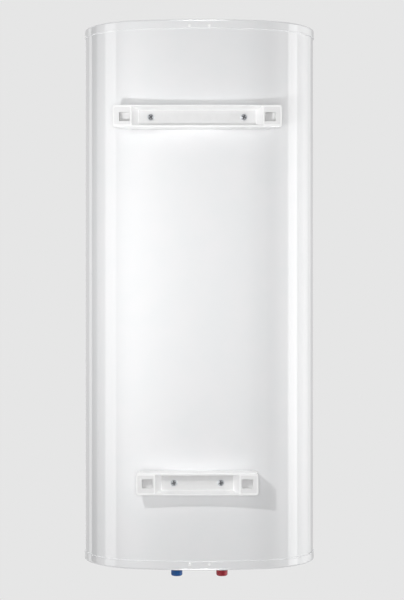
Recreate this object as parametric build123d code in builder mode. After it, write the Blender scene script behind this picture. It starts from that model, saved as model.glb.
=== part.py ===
from build123d import *
import os
from math import acos, atan2, cos, degrees, hypot, radians, sin, sqrt

# A flat, wall-hung, twin-tank electric water heater, without its supply cord.
# The wall is the plane y = 0 and the heater hangs in front of it, on -Y. The front, with the
# control panel, faces -Y. +Z is up. The origin lies on the wall, on the heater's centre line,
# at the height of the upper bracket's hook windows. Lengths are millimetres.

# ---------------------------------------------------------------- driving dimensions
# Body: oval steel jacket between two plastic caps
BODY_WIDTH = 510.0
BODY_DEPTH = 260.0
BODY_HEIGHT = 1185.0
WALL_GAP = 50.0                 # wall to the jacket's rearmost line
HOOK_TO_MIDDLE = 376.0          # hook windows above the body's mid height
BROAD_RADIUS = 758.0            # the nearly flat front and rear
CORNER_RADIUS = 143.0
SIDE_RADIUS = 58.0
JACKET_SHEET = 0.8
CAP_HEIGHT = 20.0
CAP_PROUD = 1.8                 # cap skirt outside the jacket
CAP_GAP = 0.2                   # between the skirt and the jacket
CAP_PLATE = 2.5
CAP_EDGE_RADIUS = 10.0
LIP_PROUD = 2.4
LIP_HEIGHT = 2.0
JACKET_END_INSET = 10.0         # jacket's end below the cap's outer plane

# Wall brackets: steel pans, open towards the wall, whose skirts reach the jacket
SHEET = 3.0
BRACKET_X = 4.4                 # both brackets sit a little to one side of the centre line
BRACKET_HEIGHT = 46.4
BRACKET_CORNER = 5.0
FLOOR_DEPTH = 27.0              # wall to the pan's floor
LONG_WALL_LEAN = 4.4            # the long walls lean in by this much at the floor
RIM_RADIUS = 1.4
BEND_RADIUS = 2.4
END_SKIRT = 14.0                # below it the ends are cut back towards the jacket
WINDOW_WIDTH = 22.5
WINDOW_HEIGHT = 19.0
WINDOW_CORNER = 1.5
UPPER = dict(middle_z=2.0, half_length=178.8, base_half=150.0, floor_half=125.2,
             pad_inner=139.0, window_x=154.0, window_z=0.0, bolt_x=99.0)
LOWER = dict(middle_z=-776.6, half_length=129.2, base_half=122.0, floor_half=76.9,
             pad_inner=89.2, window_x=105.6, window_z=-775.2, bolt_x=50.0)

# Fasteners
M8_RADIUS = 3.9
M8_HEAD_RADIUS = 6.4
M8_HEAD_HEIGHT = 4.6
M8_LENGTH = 20.0
M8_SLOT = 8.0
WASHER_RADIUS = 8.6
WASHER_SHEET = 1.2
BOSS_RADIUS = 8.0
BOSS_ROOM = 1.0                 # round a boss where it passes the jacket
TAPPED_ROOM = 0.05
BOLT_HOLE_ROOM = 0.3
CAP_SCREW_X = 21.0
CAP_SCREW_INSET = 14.0          # from the cap's outer plane
CAP_SCREW_HEAD_RADIUS = 3.2
CAP_SCREW_HEAD_HEIGHT = 1.9
CAP_SCREW_RADIUS = 1.8
CAP_SCREW_LENGTH = 8.0
CAP_SCREW_SLOT = 3.6
CAP_SCREW_HOLE_RADIUS = 2.0
CAP_SCREW_SINK = 0.8            # seat below the skirt's surface
CAP_SCREW_RECESS_RADIUS = 4.0
CAP_SCREW_POCKET = (2.5, 12.0)  # radius and depth of its room in the foam

# Tanks
TANK_X = 113.0
TANK_RADIUS = 109.0
TANK_WALL = 2.0
TANK_DOME = 45.0
TANK_CROWN = 180.0              # radius of the dished heads' crowns
TANK_TOP_CLEARANCE = 26.5       # dome top to the cap's outer plane
COMPARTMENT = 106.5             # service space: tank's lowest point to the cap's outer plane
STRAP_SHEET = 4.5
STRAP_HEIGHT = 34.0
STRAP_OVERHANG = 24.0           # beyond the tanks' axes
STRAP_CORNER = 6.0
STRAP_SEAT = 3.0                # the strap's rear face behind the tanks' rearmost line
TRANSFER_RADIUS = 12.0
TRANSFER_REACH = 24.0
UPPER_TRANSFER_DROP = 90.0      # below the tank's top
LOWER_TRANSFER_RISE = 92.0      # above the tank's bottom

# Pipe connections, G 1/2 male
NIPPLE_X = 50.0
NIPPLE_Y = -138.0
NIPPLE_RADIUS = 10.48
NIPPLE_BORE = 8.0
NIPPLE_REACH = 27.0             # below the bottom cap's plane
NIPPLE_RISE = 34.0              # above the tank's lowest point
NIPPLE_ROOM = 1.5               # round a nipple where it passes the bottom cap
RELIEF_RADIUS = 9.6
RELIEF_LENGTH = 2.0
PILOT_RADIUS = 9.6              # turned-down end that holds the thread cap
PILOT_LENGTH = 11.5
THREAD_CAP_RADIUS = 12.6
THREAD_CAP_END = 1.5
THREAD_CAP_LENGTH = 12.5
THREAD_CAP_EDGE = 3.5
RUNNING_GAP = 0.3
DIFFUSER_RADIUS = 14.0
DIFFUSER_HEIGHT = 20.0
DIFFUSER_WALL = 2.0
DIFFUSER_SLOT = 5.0

# Immersion flanges and what they carry
RING_RADIUS = 46.0
RING_BORE = 31.0
RING_HEIGHT = 20.0
GASKET_SHEET = 3.0
PLATE_SHEET = 3.5
FLANGE_BOLTS = 5
FLANGE_BOLT_CIRCLE = 38.5
FLANGE_BOLT_HEAD = (5.7, 4.0)   # corner radius and height
FLANGE_BOLT_GRIP = 10.0         # thread engaged in the ring
M6_RADIUS = 2.9
ELEMENT_RADIUS = 4.2
ELEMENT_HALF_PITCH = 13.0
ELEMENT_Y = -4.0
ELEMENT_RISE = 330.0
ELEMENT_TAIL = 14.0
ANODE_Y = 17.0
ANODE_RADIUS = 8.5
ANODE_LENGTH = 230.0
ANODE_CORE_RADIUS = 4.0
ANODE_STAND = 20.0              # above the flange plate
THERMOWELL_Y = -19.0
THERMOWELL_RADIUS = 4.5
THERMOWELL_LENGTH = 250.0
THERMOWELL_TAIL = 4.0           # below the flange plate
THERMOWELL_END = 2.0
PROBE_RADIUS = 2.8
PROBE_TAIL = 10.0               # below the flange plate
PROBE_END_ROOM = 8.0

# Control panel on the front, over the service space
PANEL_WIDTH = 196.0
PANEL_HEIGHT = 62.0
PANEL_RISE = 68.5               # panel's centre above the bottom cap's plane
PANEL_PROUD = 8.0
PANEL_CORNER = 14.0
PANEL_EDGE = 3.0
PANEL_WALL = 2.5
PANEL_OPENING = (150.0, 46.0)
PANEL_OPENING_CORNER = 8.0
SPIGOT_ROOM = 1.0               # spigot's width less than the opening's
BOARD_SIZE = (142.0, 38.0)
BOARD_CORNER = 5.0
BOARD_SHEET = 1.6
BOARD_DEPTH = 15.0              # panel's front face to the board's front face
POST_INSET = 8.0                # post spacing less than the board's size
POST_RADIUS = 3.0
POST_BORE = 1.3
POST_HOLE_RADIUS = 1.5
BOARD_SCREW = (2.6, 1.8, 1.25, 8.0, 2.6)    # head radius and height, shank radius, length, slot
KNOB_X = -58.0
KNOB_RADIUS = 20.0
KNOB_HEIGHT = 15.0
KNOB_TAPER = 4.0
KNOB_EDGE = 1.6
KNOB_FLUTES = 24
KNOB_FLUTE_RADIUS = 1.2
KNOB_FLUTE_CIRCLE = 20.3
KNOB_SKIRT = 3.0                # plain rim below the flutes
KNOB_POINTER = (2.2, 10.0, 1.0)     # width, length and corner
KNOB_POINTER_DEPTH = 0.8
KNOB_POINTER_Y = 11.6           # from the knob's axis
KNOB_SHAFT_RADIUS = 3.0
ENCODER_SIZE = (12.0, 13.0, 7.0)
BUTTON_X = {"power_button": 40.0, "mode_button": 59.0}
BUTTON_SIZE = (14.0, 10.0)
BUTTON_PROUD = 1.6
BUTTON_TRAVEL = 1.2
BUTTON_CORNER = 2.5
BUTTON_EDGE = 0.7
BUTTON_FLANGE = (1.5, 1.2)      # how far it stands out all round, and its sheet
BUTTON_STEM_RADIUS = 2.0
SWITCH_SIZE = (6.2, 3.5)        # across and high
DISPLAY_X = -2.0
DISPLAY_SIZE = (58.0, 26.0)
DISPLAY_CORNER = 3.0
DISPLAY_SHEET = 1.8
DISPLAY_LEDGE = 3.0             # under the window all round
MODULE_INSET = 4.0              # inside the window all round
LENS_X = (40.0, 49.5, 59.0)
LENS_RISE = 16.0
LENS_RADIUS = 1.6
LENS_PROUD = 0.4
LENS_LENGTH = 4.9

# Electrical parts in the service space
TRAY_SIZE = (112.0, 92.0)
TRAY_CORNER = 6.0
TRAY_SHEET = 1.5
TRAY_Y = -198.0
CUTOUT_SIZE = (36.0, 30.0, 24.0)
CUTOUT_CORNER = 3.0
CUTOUT_EDGE = 1.0
CUTOUT_Y = -176.0
RESET_RADIUS = 3.0
RESET_PROUD = 3.0
RESET_SOCKET = 8.0              # depth of its hole in the cutout
RESET_EDGE = 0.6
RESET_TRAVEL = 1.0
TERMINAL_SIZE = (44.0, 20.0, 15.0)
TERMINAL_Y = -216.0
TERMINAL_PITCH = 11.0
TERMINAL_HOLE = (2.4, 6.0)      # radius and depth
LEAD_RADIUS = 1.6
LEAD_BEND = 5.0
LEAD_START_Y = TERMINAL_Y + 8.0
LEAD_DROPS = {-1: 12.0, 1: 20.0}    # below the element's tails, inner and outer lead
GLAND_Y = -232.0
GLAND_BORE = 4.2
GLAND_THREAD_RADIUS = 8.0
GLAND_THREAD_LENGTH = 11.0
GLAND_THREAD_ROOM = 0.2
GLAND_HEX = 22.0                # across flats
GLAND_HEX_HEIGHT = 5.0
GLAND_DOME_RADIUS = 10.0
GLAND_DOME_TAPER = 8.0
GLAND_DOME_EDGE = 2.0
GLAND_REACH = 18.0

# ---------------------------------------------------------------- levels and planes
MID_Y = -(WALL_GAP + BODY_DEPTH / 2)
REAR_Y = -WALL_GAP
FRONT_Y = REAR_Y - BODY_DEPTH
TOP_Z = BODY_HEIGHT / 2 - HOOK_TO_MIDDLE
BOTTOM_Z = TOP_Z - BODY_HEIGHT
TANK_TOP_Z = TOP_Z - TANK_TOP_CLEARANCE
TANK_BOTTOM_Z = BOTTOM_Z + COMPARTMENT
FOAM_BOTTOM_Z = TANK_BOTTOM_Z - 6.0
UPPER_TRANSFER_Z = TANK_TOP_Z - UPPER_TRANSFER_DROP
LOWER_TRANSFER_Z = TANK_BOTTOM_Z + LOWER_TRANSFER_RISE
RING_Z = TANK_BOTTOM_Z - 16.0           # the ring's bolting face
PLATE_TOP_Z = RING_Z - GASKET_SHEET
PLATE_Z = PLATE_TOP_Z - PLATE_SHEET     # the flange plate's outer face
FLOOR_Y = -FLOOR_DEPTH                  # the bracket floor's wall-side face
BOSS_END_Y = FLOOR_Y - SHEET
STRAP_Y = MID_Y + TANK_RADIUS + STRAP_SEAT
NIPPLE_TOP_Z = TANK_BOTTOM_Z + NIPPLE_RISE
PANEL_Z = BOTTOM_Z + PANEL_RISE
PANEL_Y = FRONT_Y - PANEL_PROUD
BOARD_Y = PANEL_Y + BOARD_DEPTH
THREAD_END_Z = BOTTOM_Z - NIPPLE_REACH
TRAY_Z = FOAM_BOTTOM_Z - TRAY_SHEET


def level(z):
    """A horizontal plane at height z, centred on the body's oval section."""
    return Plane(origin=(0, MID_Y, z))


def facing(origin, towards):
    """A plane through a point, with its normal along one world direction and local x along +X."""
    return Plane(origin=origin, x_dir=(1, 0, 0), z_dir=towards)


def along(origin, up):
    """A plane through a point, whose local y runs along one world direction."""
    return Plane(origin=origin, x_dir=(1, 0, 0), z_dir=Vector(1, 0, 0).cross(Vector(*up)))


# ---------------------------------------------------------------- shared shapes
def oval(grow=0.0):
    """The body's oval section, grown outwards: eight tangent arcs about six centres."""
    half_width, half_depth = BODY_WIDTH / 2, BODY_DEPTH / 2
    side_x = half_width - SIDE_RADIUS
    broad_y = BROAD_RADIUS - half_depth
    broad_to_corner = BROAD_RADIUS - CORNER_RADIUS
    corner_to_side = CORNER_RADIUS - SIDE_RADIUS
    broad_to_side = hypot(side_x, broad_y)
    opening = acos((broad_to_corner**2 + broad_to_side**2 - corner_to_side**2)
                   / (2 * broad_to_corner * broad_to_side))
    broad_angle = atan2(side_x, broad_y) - opening
    corner_x = broad_to_corner * sin(broad_angle)
    corner_y = broad_to_corner * cos(broad_angle) - broad_y
    side_angle = degrees(atan2(-corner_y, side_x - corner_x))
    broad_angle = degrees(broad_angle)
    sweep_angle = 90 - broad_angle - side_angle
    with BuildLine() as outline:
        for turn in (0, 180):
            end = 1 if turn == 0 else -1
            CenterArc((0, -end * broad_y), BROAD_RADIUS + grow, 90 + turn - broad_angle, 2 * broad_angle)
            CenterArc((end * side_x, 0), SIDE_RADIUS + grow, turn - side_angle, 2 * side_angle)
            CenterArc((end * corner_x, end * corner_y), CORNER_RADIUS + grow,
                      turn + side_angle, sweep_angle)
            CenterArc((end * corner_x, -end * corner_y), CORNER_RADIUS + grow,
                      turn - side_angle - sweep_angle, sweep_angle)
    make_face(outline.edges())


def drop_at(x, radius=BROAD_RADIUS):
    """How far the broad arc falls away from its crown at a distance x from the centre line."""
    return radius - sqrt(radius**2 - x**2)


def screw(seat, out, head_radius, head_height, shank_radius, length, slot):
    """A pan-head screw on the part being built: its seat, the way its head points, and its sizes."""
    crown = head_height * 0.45
    crown_radius = (head_radius**2 + crown**2) / (2 * crown)
    with BuildSketch(along(seat, out)) as half:
        with BuildLine():
            Polyline((0, head_height), (0, -length), (shank_radius, -length), (shank_radius, 0),
                     (head_radius, 0), (head_radius, head_height - crown))
            ThreePointArc((head_radius, head_height - crown),
                          (head_radius / 2, head_height - drop_at(head_radius / 2, crown_radius)),
                          (0, head_height))
        make_face()
    revolve(half.sketch, axis=Axis(seat, out))
    top = Vector(*seat) + Vector(*out) * head_height
    with BuildSketch(facing(top, out)) as cross:
        Rectangle(slot, slot * 0.2)
        Rectangle(slot * 0.2, slot)
    extrude(cross.sketch, amount=-head_height * 0.6, mode=Mode.SUBTRACT)


def bolt_places(bracket):
    """The x and z of a bracket's two bolts."""
    return [(BRACKET_X + side * bracket["bolt_x"], bracket["middle_z"]) for side in (-1, 1)]


ALL_BOLT_PLACES = bolt_places(UPPER) + bolt_places(LOWER)
CAP_SCREW_PLACES = [(side * CAP_SCREW_X, z) for side in (-1, 1)
                    for z in (TOP_Z - CAP_SCREW_INSET, BOTTOM_Z + CAP_SCREW_INSET)]
CAP_SCREW_SEAT_Y = REAR_Y + CAP_PROUD - drop_at(CAP_SCREW_X) - CAP_SCREW_SINK

# ---------------------------------------------------------------- jacket
with BuildPart() as jacket:
    with BuildSketch(level(BOTTOM_Z + JACKET_END_INSET)):
        oval()
    extrude(amount=BODY_HEIGHT - 2 * JACKET_END_INSET)
    with BuildSketch(level(BOTTOM_Z + JACKET_END_INSET)):
        oval(-JACKET_SHEET)
    extrude(amount=BODY_HEIGHT - 2 * JACKET_END_INSET, mode=Mode.SUBTRACT)
    # holes for the brackets' bosses and for the cap screws, on the rear
    with BuildSketch(Plane.XZ.offset(WALL_GAP - 1)):
        with Locations(*ALL_BOLT_PLACES):
            Circle(BOSS_RADIUS + BOSS_ROOM)
        with Locations(*CAP_SCREW_PLACES):
            Circle(CAP_SCREW_HOLE_RADIUS)
    extrude(amount=BODY_DEPTH / 2, mode=Mode.SUBTRACT)
    # opening behind the control panel, on the front
    with BuildSketch(facing((0, FRONT_Y - 1, PANEL_Z), (0, 1, 0))):
        RectangleRounded(*PANEL_OPENING, PANEL_OPENING_CORNER)
    extrude(amount=BODY_DEPTH / 2, mode=Mode.SUBTRACT)


# ---------------------------------------------------------------- end caps
def cap_core(end_z, up):
    """The space inside a cap: the jacket's section with a rounded end."""
    with BuildPart() as core:
        with BuildSketch(level(end_z - up * CAP_HEIGHT)):
            oval(CAP_GAP)
        extrude(amount=up * (CAP_HEIGHT - CAP_PLATE))
        inner_radius = CAP_EDGE_RADIUS - (CAP_PROUD - CAP_GAP)
        fillet(core.edges().group_by(Axis.Z)[-1 if up > 0 else 0], inner_radius)
    return core.part


def cap_shell(end_z, up):
    """A cap's outer shell on the part being built, with its lip at the seam and screw recesses."""
    seam_z = end_z - up * CAP_HEIGHT
    with BuildSketch(level(seam_z)) as skirt:
        oval(CAP_PROUD)
    extrude(skirt.sketch, amount=up * CAP_HEIGHT)
    fillet(edges().group_by(Axis.Z)[-1 if up > 0 else 0], CAP_EDGE_RADIUS)
    with BuildSketch(level(seam_z)) as lip:
        oval(LIP_PROUD)
    extrude(lip.sketch, amount=up * LIP_HEIGHT)
    screw_z = end_z - up * CAP_SCREW_INSET
    with BuildSketch(facing((0, CAP_SCREW_SEAT_Y, screw_z), (0, 1, 0))) as recesses:
        with Locations((-CAP_SCREW_X, 0), (CAP_SCREW_X, 0)):
            Circle(CAP_SCREW_RECESS_RADIUS)
    extrude(recesses.sketch, amount=WALL_GAP / 4, mode=Mode.SUBTRACT)
    with BuildSketch(facing((0, MID_Y, screw_z), (0, 1, 0))) as holes:
        with Locations((-CAP_SCREW_X, 0), (CAP_SCREW_X, 0)):
            Circle(CAP_SCREW_HOLE_RADIUS)
    extrude(holes.sketch, amount=BODY_DEPTH, mode=Mode.SUBTRACT)


top_core = cap_core(TOP_Z, 1)
with BuildPart() as top_cap:
    cap_shell(TOP_Z, 1)
    add(top_core, mode=Mode.SUBTRACT)

bottom_core = cap_core(BOTTOM_Z, -1)
with BuildPart() as bottom_cap:
    cap_shell(BOTTOM_Z, -1)
    add(bottom_core, mode=Mode.SUBTRACT)
    with BuildSketch(Plane.XY.offset(BOTTOM_Z - 1)):
        with Locations((-NIPPLE_X, NIPPLE_Y), (NIPPLE_X, NIPPLE_Y)):
            Circle(NIPPLE_RADIUS + NIPPLE_ROOM)
        with Locations((0, GLAND_Y)):
            Circle(GLAND_THREAD_RADIUS + GLAND_THREAD_ROOM)
    extrude(amount=CAP_PLATE + 2, mode=Mode.SUBTRACT)

with BuildPart() as cap_screws:
    for screw_x, screw_z in CAP_SCREW_PLACES:
        screw((screw_x, CAP_SCREW_SEAT_Y, screw_z), (0, 1, 0), CAP_SCREW_HEAD_RADIUS,
              CAP_SCREW_HEAD_HEIGHT, CAP_SCREW_RADIUS, CAP_SCREW_LENGTH, CAP_SCREW_SLOT)


# ---------------------------------------------------------------- wall brackets
def make_bracket(sizes):
    """A pan with a rim on the wall, a floor bolted on and two end pads, with their windows, over it."""
    middle_z, half_length, base_half = sizes["middle_z"], sizes["half_length"], sizes["base_half"]
    pad_inner, floor_half = sizes["pad_inner"], sizes["floor_half"]
    wall = facing((BRACKET_X, 0, middle_z), (0, -1, 0))
    plan = Plane(origin=(BRACKET_X, 0, middle_z))
    inner_half_height = BRACKET_HEIGHT / 2 - SHEET
    floor_half_height = inner_half_height - LONG_WALL_LEAN
    slope = (pad_inner - floor_half) / FLOOR_DEPTH      # sideways run for each unit of depth
    slope_sheet = SHEET * sqrt(1 + slope**2)            # the slope's sheet, measured along X
    cut_back = (half_length - base_half) / (WALL_GAP - END_SKIRT)
    end_sheet = SHEET * sqrt(1 + cut_back**2)

    def under_slope_x(y):
        return pad_inner + slope * y + slope_sheet

    def inside_end_x(y):
        return half_length - cut_back * (-y - END_SKIRT) - end_sheet

    with BuildPart() as recess:
        with BuildSketch(plan):
            Polygon((-pad_inner, 0), (-floor_half, FLOOR_Y), (floor_half, FLOOR_Y), (pad_inner, 0),
                    (pad_inner, 1), (-pad_inner, 1), align=None)
        extrude(amount=inner_half_height, both=True)
        with BuildSketch(Plane(origin=(BRACKET_X - half_length, 0, middle_z), x_dir=(0, 1, 0),
                               z_dir=(1, 0, 0))):
            Polygon((1, inner_half_height), (0, inner_half_height), (FLOOR_Y, floor_half_height),
                    (FLOOR_Y, -floor_half_height), (0, -inner_half_height), (1, -inner_half_height),
                    align=None)
        extrude(amount=2 * half_length, mode=Mode.INTERSECT)

    with BuildPart() as bracket:
        with BuildSketch(wall):
            RectangleRounded(2 * half_length, BRACKET_HEIGHT, BRACKET_CORNER)
        extrude(amount=WALL_GAP)
        fillet(edges().group_by(Axis.Y)[-1], RIM_RADIUS)
        add(recess.part, mode=Mode.SUBTRACT)
        # bends between the pads and the slopes
        bends = bracket.edges().filter_by(Axis.Z).filter_by(
            lambda edge: abs(edge.length - 2 * inner_half_height) < 0.1
            and abs(abs(edge.center().X - BRACKET_X) - pad_inner) < 0.1
            and abs(edge.center().Y) < 0.1)
        fillet(bends, BEND_RADIUS)
        # the room under each pad, over the floor
        with BuildSketch(plan):
            Polygon((under_slope_x(FLOOR_Y), FLOOR_Y), (under_slope_x(-SHEET), -SHEET),
                    (half_length - SHEET, -SHEET), (half_length - SHEET, -END_SKIRT),
                    (inside_end_x(FLOOR_Y), FLOOR_Y), align=None)
            mirror(about=Plane.YZ)
        extrude(amount=floor_half_height, both=True, mode=Mode.SUBTRACT)
        # the room under the floor, open to the jacket
        with BuildSketch(plan):
            Polygon((inside_end_x(BOSS_END_Y), BOSS_END_Y),
                    (inside_end_x(-WALL_GAP - 1), -WALL_GAP - 1),
                    (-inside_end_x(-WALL_GAP - 1), -WALL_GAP - 1),
                    (-inside_end_x(BOSS_END_Y), BOSS_END_Y), align=None)
        extrude(amount=inner_half_height, both=True, mode=Mode.SUBTRACT)
        # the ends are cut back below a short skirt
        with BuildSketch(plan):
            Polygon((half_length + 1, -END_SKIRT + cut_back), (half_length, -END_SKIRT),
                    (base_half, -WALL_GAP), (base_half, -WALL_GAP - 1),
                    (half_length + 1, -WALL_GAP - 1), align=None)
            mirror(about=Plane.YZ)
        extrude(amount=BRACKET_HEIGHT, both=True, mode=Mode.SUBTRACT)
        # hook windows and bolt holes
        with BuildSketch(wall):
            with Locations((-sizes["window_x"], sizes["window_z"] - middle_z),
                           (sizes["window_x"], sizes["window_z"] - middle_z)):
                RectangleRounded(WINDOW_WIDTH, WINDOW_HEIGHT, WINDOW_CORNER)
        extrude(amount=2 * SHEET, mode=Mode.SUBTRACT)
        with BuildSketch(wall.offset(FLOOR_DEPTH - SHEET)):
            with Locations((-sizes["bolt_x"], 0), (sizes["bolt_x"], 0)):
                Circle(M8_RADIUS + 2 * BOLT_HOLE_ROOM)
        extrude(amount=3 * SHEET, mode=Mode.SUBTRACT)
    return bracket.part


upper_bracket = make_bracket(UPPER)
lower_bracket = make_bracket(LOWER)

with BuildPart() as bracket_washers:
    with BuildSketch(Plane.XZ.offset(-FLOOR_Y)):
        with Locations(*ALL_BOLT_PLACES):
            Circle(WASHER_RADIUS)
            Circle(M8_RADIUS + BOLT_HOLE_ROOM, mode=Mode.SUBTRACT)
    extrude(amount=-WASHER_SHEET)

with BuildPart() as bracket_bolts:
    for bolt_x, bolt_z in ALL_BOLT_PLACES:
        screw((bolt_x, FLOOR_Y + WASHER_SHEET, bolt_z), (0, 1, 0), M8_HEAD_RADIUS, M8_HEAD_HEIGHT,
              M8_RADIUS, M8_LENGTH, M8_SLOT)


# ---------------------------------------------------------------- tanks
def tank_section(inset=0.0):
    """Half of a tank's upright section, to the right of its axis: a wall and two dished heads."""
    knuckle = ((TANK_CROWN**2 - (TANK_CROWN - TANK_DOME)**2 - TANK_RADIUS**2)
               / (2 * (TANK_CROWN - TANK_RADIUS)))
    knuckle_x = TANK_RADIUS - knuckle
    crown_angle = degrees(atan2(knuckle_x, TANK_CROWN - TANK_DOME))
    wall_x = TANK_RADIUS - inset
    low_z, high_z = TANK_BOTTOM_Z + TANK_DOME, TANK_TOP_Z - TANK_DOME
    with BuildLine() as outline:
        Line((0, TANK_TOP_Z - inset), (0, TANK_BOTTOM_Z + inset))
        CenterArc((0, TANK_BOTTOM_Z + TANK_CROWN), TANK_CROWN - inset, 270, crown_angle)
        CenterArc((knuckle_x, low_z), knuckle - inset, 270 + crown_angle, 90 - crown_angle)
        Line((wall_x, low_z), (wall_x, high_z))
        CenterArc((knuckle_x, high_z), knuckle - inset, 0, 90 - crown_angle)
        CenterArc((0, TANK_TOP_Z - TANK_CROWN), TANK_CROWN - inset, 90 - crown_angle, crown_angle)
    make_face(outline.edges())


def tank_envelope(side):
    """A tank as a full solid, to cut its room out of what surrounds it."""
    with BuildPart() as envelope:
        with BuildSketch(along((side * TANK_X, MID_Y, 0), (0, 0, 1))):
            tank_section()
        revolve(axis=Axis((side * TANK_X, MID_Y, 0), (0, 0, 1)))
    return envelope.part


def make_tank(side):
    """An enamelled steel tank with its flange hole, nipple hole and two transfer holes."""
    axis_point = (side * TANK_X, MID_Y, 0)
    with BuildPart() as tank:
        with BuildSketch(along(axis_point, (0, 0, 1))):
            tank_section()
        revolve(axis=Axis(axis_point, (0, 0, 1)))
        with BuildSketch(along(axis_point, (0, 0, 1))):
            tank_section(TANK_WALL)
        revolve(axis=Axis(axis_point, (0, 0, 1)), mode=Mode.SUBTRACT)
        with BuildSketch(Plane.XY.offset(TANK_BOTTOM_Z - 1)):
            with Locations((side * TANK_X, MID_Y)):
                Circle(RING_BORE)
            with Locations((side * NIPPLE_X, NIPPLE_Y)):
                Circle(NIPPLE_RADIUS)
        extrude(amount=TANK_DOME, mode=Mode.SUBTRACT)
        with BuildSketch(Plane.YZ):
            with Locations((MID_Y, UPPER_TRANSFER_Z), (MID_Y, LOWER_TRANSFER_Z)):
                Circle(TRANSFER_RADIUS)
        extrude(amount=side * TRANSFER_REACH, mode=Mode.SUBTRACT)
    return tank.part


left_envelope = tank_envelope(-1)
right_envelope = tank_envelope(1)
left_tank = make_tank(-1)
right_tank = make_tank(1)


def make_transfer_pipe(z):
    """A short tube that lets water pass from tank to tank."""
    with BuildPart() as pipe:
        with BuildSketch(Plane.YZ.offset(-TRANSFER_REACH)):
            with Locations((MID_Y, z)):
                Circle(TRANSFER_RADIUS)
                Circle(TRANSFER_RADIUS - TANK_WALL, mode=Mode.SUBTRACT)
        extrude(amount=2 * TRANSFER_REACH)
    return pipe.part


upper_transfer_pipe = make_transfer_pipe(UPPER_TRANSFER_Z)
lower_transfer_pipe = make_transfer_pipe(LOWER_TRANSFER_Z)


def strap_blank(bracket):
    """A strap's outline at the height of a bracket's bolts."""
    with Locations((0, bracket["middle_z"])):
        RectangleRounded(2 * (TANK_X + STRAP_OVERHANG), STRAP_HEIGHT, STRAP_CORNER)


def make_strap(bracket):
    """A steel strap across both tanks, hollowed where it seats on them, for a bracket's bosses."""
    with BuildPart() as strap:
        with BuildSketch(Plane.XZ.offset(-STRAP_Y)):
            strap_blank(bracket)
        extrude(amount=STRAP_SHEET)
        add(left_envelope, mode=Mode.SUBTRACT)
        add(right_envelope, mode=Mode.SUBTRACT)
    return strap.part


upper_strap = make_strap(UPPER)
lower_strap = make_strap(LOWER)

with BuildPart() as strap_bosses:
    with BuildSketch(Plane.XZ.offset(-STRAP_Y)):
        with Locations(*ALL_BOLT_PLACES):
            Circle(BOSS_RADIUS)
            Circle(M8_RADIUS + TAPPED_ROOM, mode=Mode.SUBTRACT)
    extrude(amount=STRAP_Y - BOSS_END_Y)


# ---------------------------------------------------------------- pipe connections
def make_nipple(side, top_z):
    """A G 1/2 male nipple: bored tube with a run-out groove and a turned-down end."""
    thread_top_z = BOTTOM_Z - RELIEF_LENGTH
    pilot_top_z = THREAD_END_Z + PILOT_LENGTH
    with BuildPart() as nipple:
        with BuildSketch(along((side * NIPPLE_X, NIPPLE_Y, 0), (0, 0, 1))):
            Polygon((NIPPLE_BORE, top_z), (NIPPLE_RADIUS, top_z), (NIPPLE_RADIUS, BOTTOM_Z),
                    (RELIEF_RADIUS, BOTTOM_Z), (RELIEF_RADIUS, thread_top_z),
                    (NIPPLE_RADIUS, thread_top_z), (NIPPLE_RADIUS, pilot_top_z),
                    (PILOT_RADIUS, pilot_top_z), (PILOT_RADIUS, THREAD_END_Z),
                    (NIPPLE_BORE, THREAD_END_Z), align=None)
        revolve(axis=Axis((side * NIPPLE_X, NIPPLE_Y, 0), (0, 0, 1)))
    return nipple.part


cold_nipple = make_nipple(1, NIPPLE_TOP_Z)
hot_nipple = make_nipple(-1, NIPPLE_TOP_Z)

with BuildPart() as inlet_diffuser:
    diffuser_top_z = NIPPLE_TOP_Z + DIFFUSER_HEIGHT
    diffuser_bore = DIFFUSER_RADIUS - DIFFUSER_WALL
    with BuildSketch(along((NIPPLE_X, NIPPLE_Y, 0), (0, 0, 1))):
        Polygon((0, diffuser_top_z), (DIFFUSER_RADIUS, diffuser_top_z), (DIFFUSER_RADIUS, NIPPLE_TOP_Z),
                (NIPPLE_BORE, NIPPLE_TOP_Z), (NIPPLE_BORE, NIPPLE_TOP_Z + DIFFUSER_WALL),
                (diffuser_bore, NIPPLE_TOP_Z + DIFFUSER_WALL),
                (diffuser_bore, diffuser_top_z - DIFFUSER_WALL), (0, diffuser_top_z - DIFFUSER_WALL),
                align=None)
    revolve(axis=Axis((NIPPLE_X, NIPPLE_Y, 0), (0, 0, 1)))
    for turn in (0, 60, 120):
        with BuildSketch(Plane(origin=(NIPPLE_X, NIPPLE_Y, NIPPLE_TOP_Z + DIFFUSER_HEIGHT / 2),
                               x_dir=(cos(radians(turn)), sin(radians(turn)), 0), z_dir=(0, 0, 1))):
            Rectangle(3 * DIFFUSER_RADIUS, DIFFUSER_SLOT)
        extrude(amount=DIFFUSER_SLOT, both=True, mode=Mode.SUBTRACT)

with BuildPart() as hot_outlet_tube:
    with BuildSketch(Plane.XY.offset(NIPPLE_TOP_Z)):
        with Locations((-NIPPLE_X, NIPPLE_Y)):
            Circle(NIPPLE_RADIUS)
            Circle(NIPPLE_BORE, mode=Mode.SUBTRACT)
    extrude(amount=TANK_TOP_Z - TANK_DOME - NIPPLE_TOP_Z)


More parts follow.
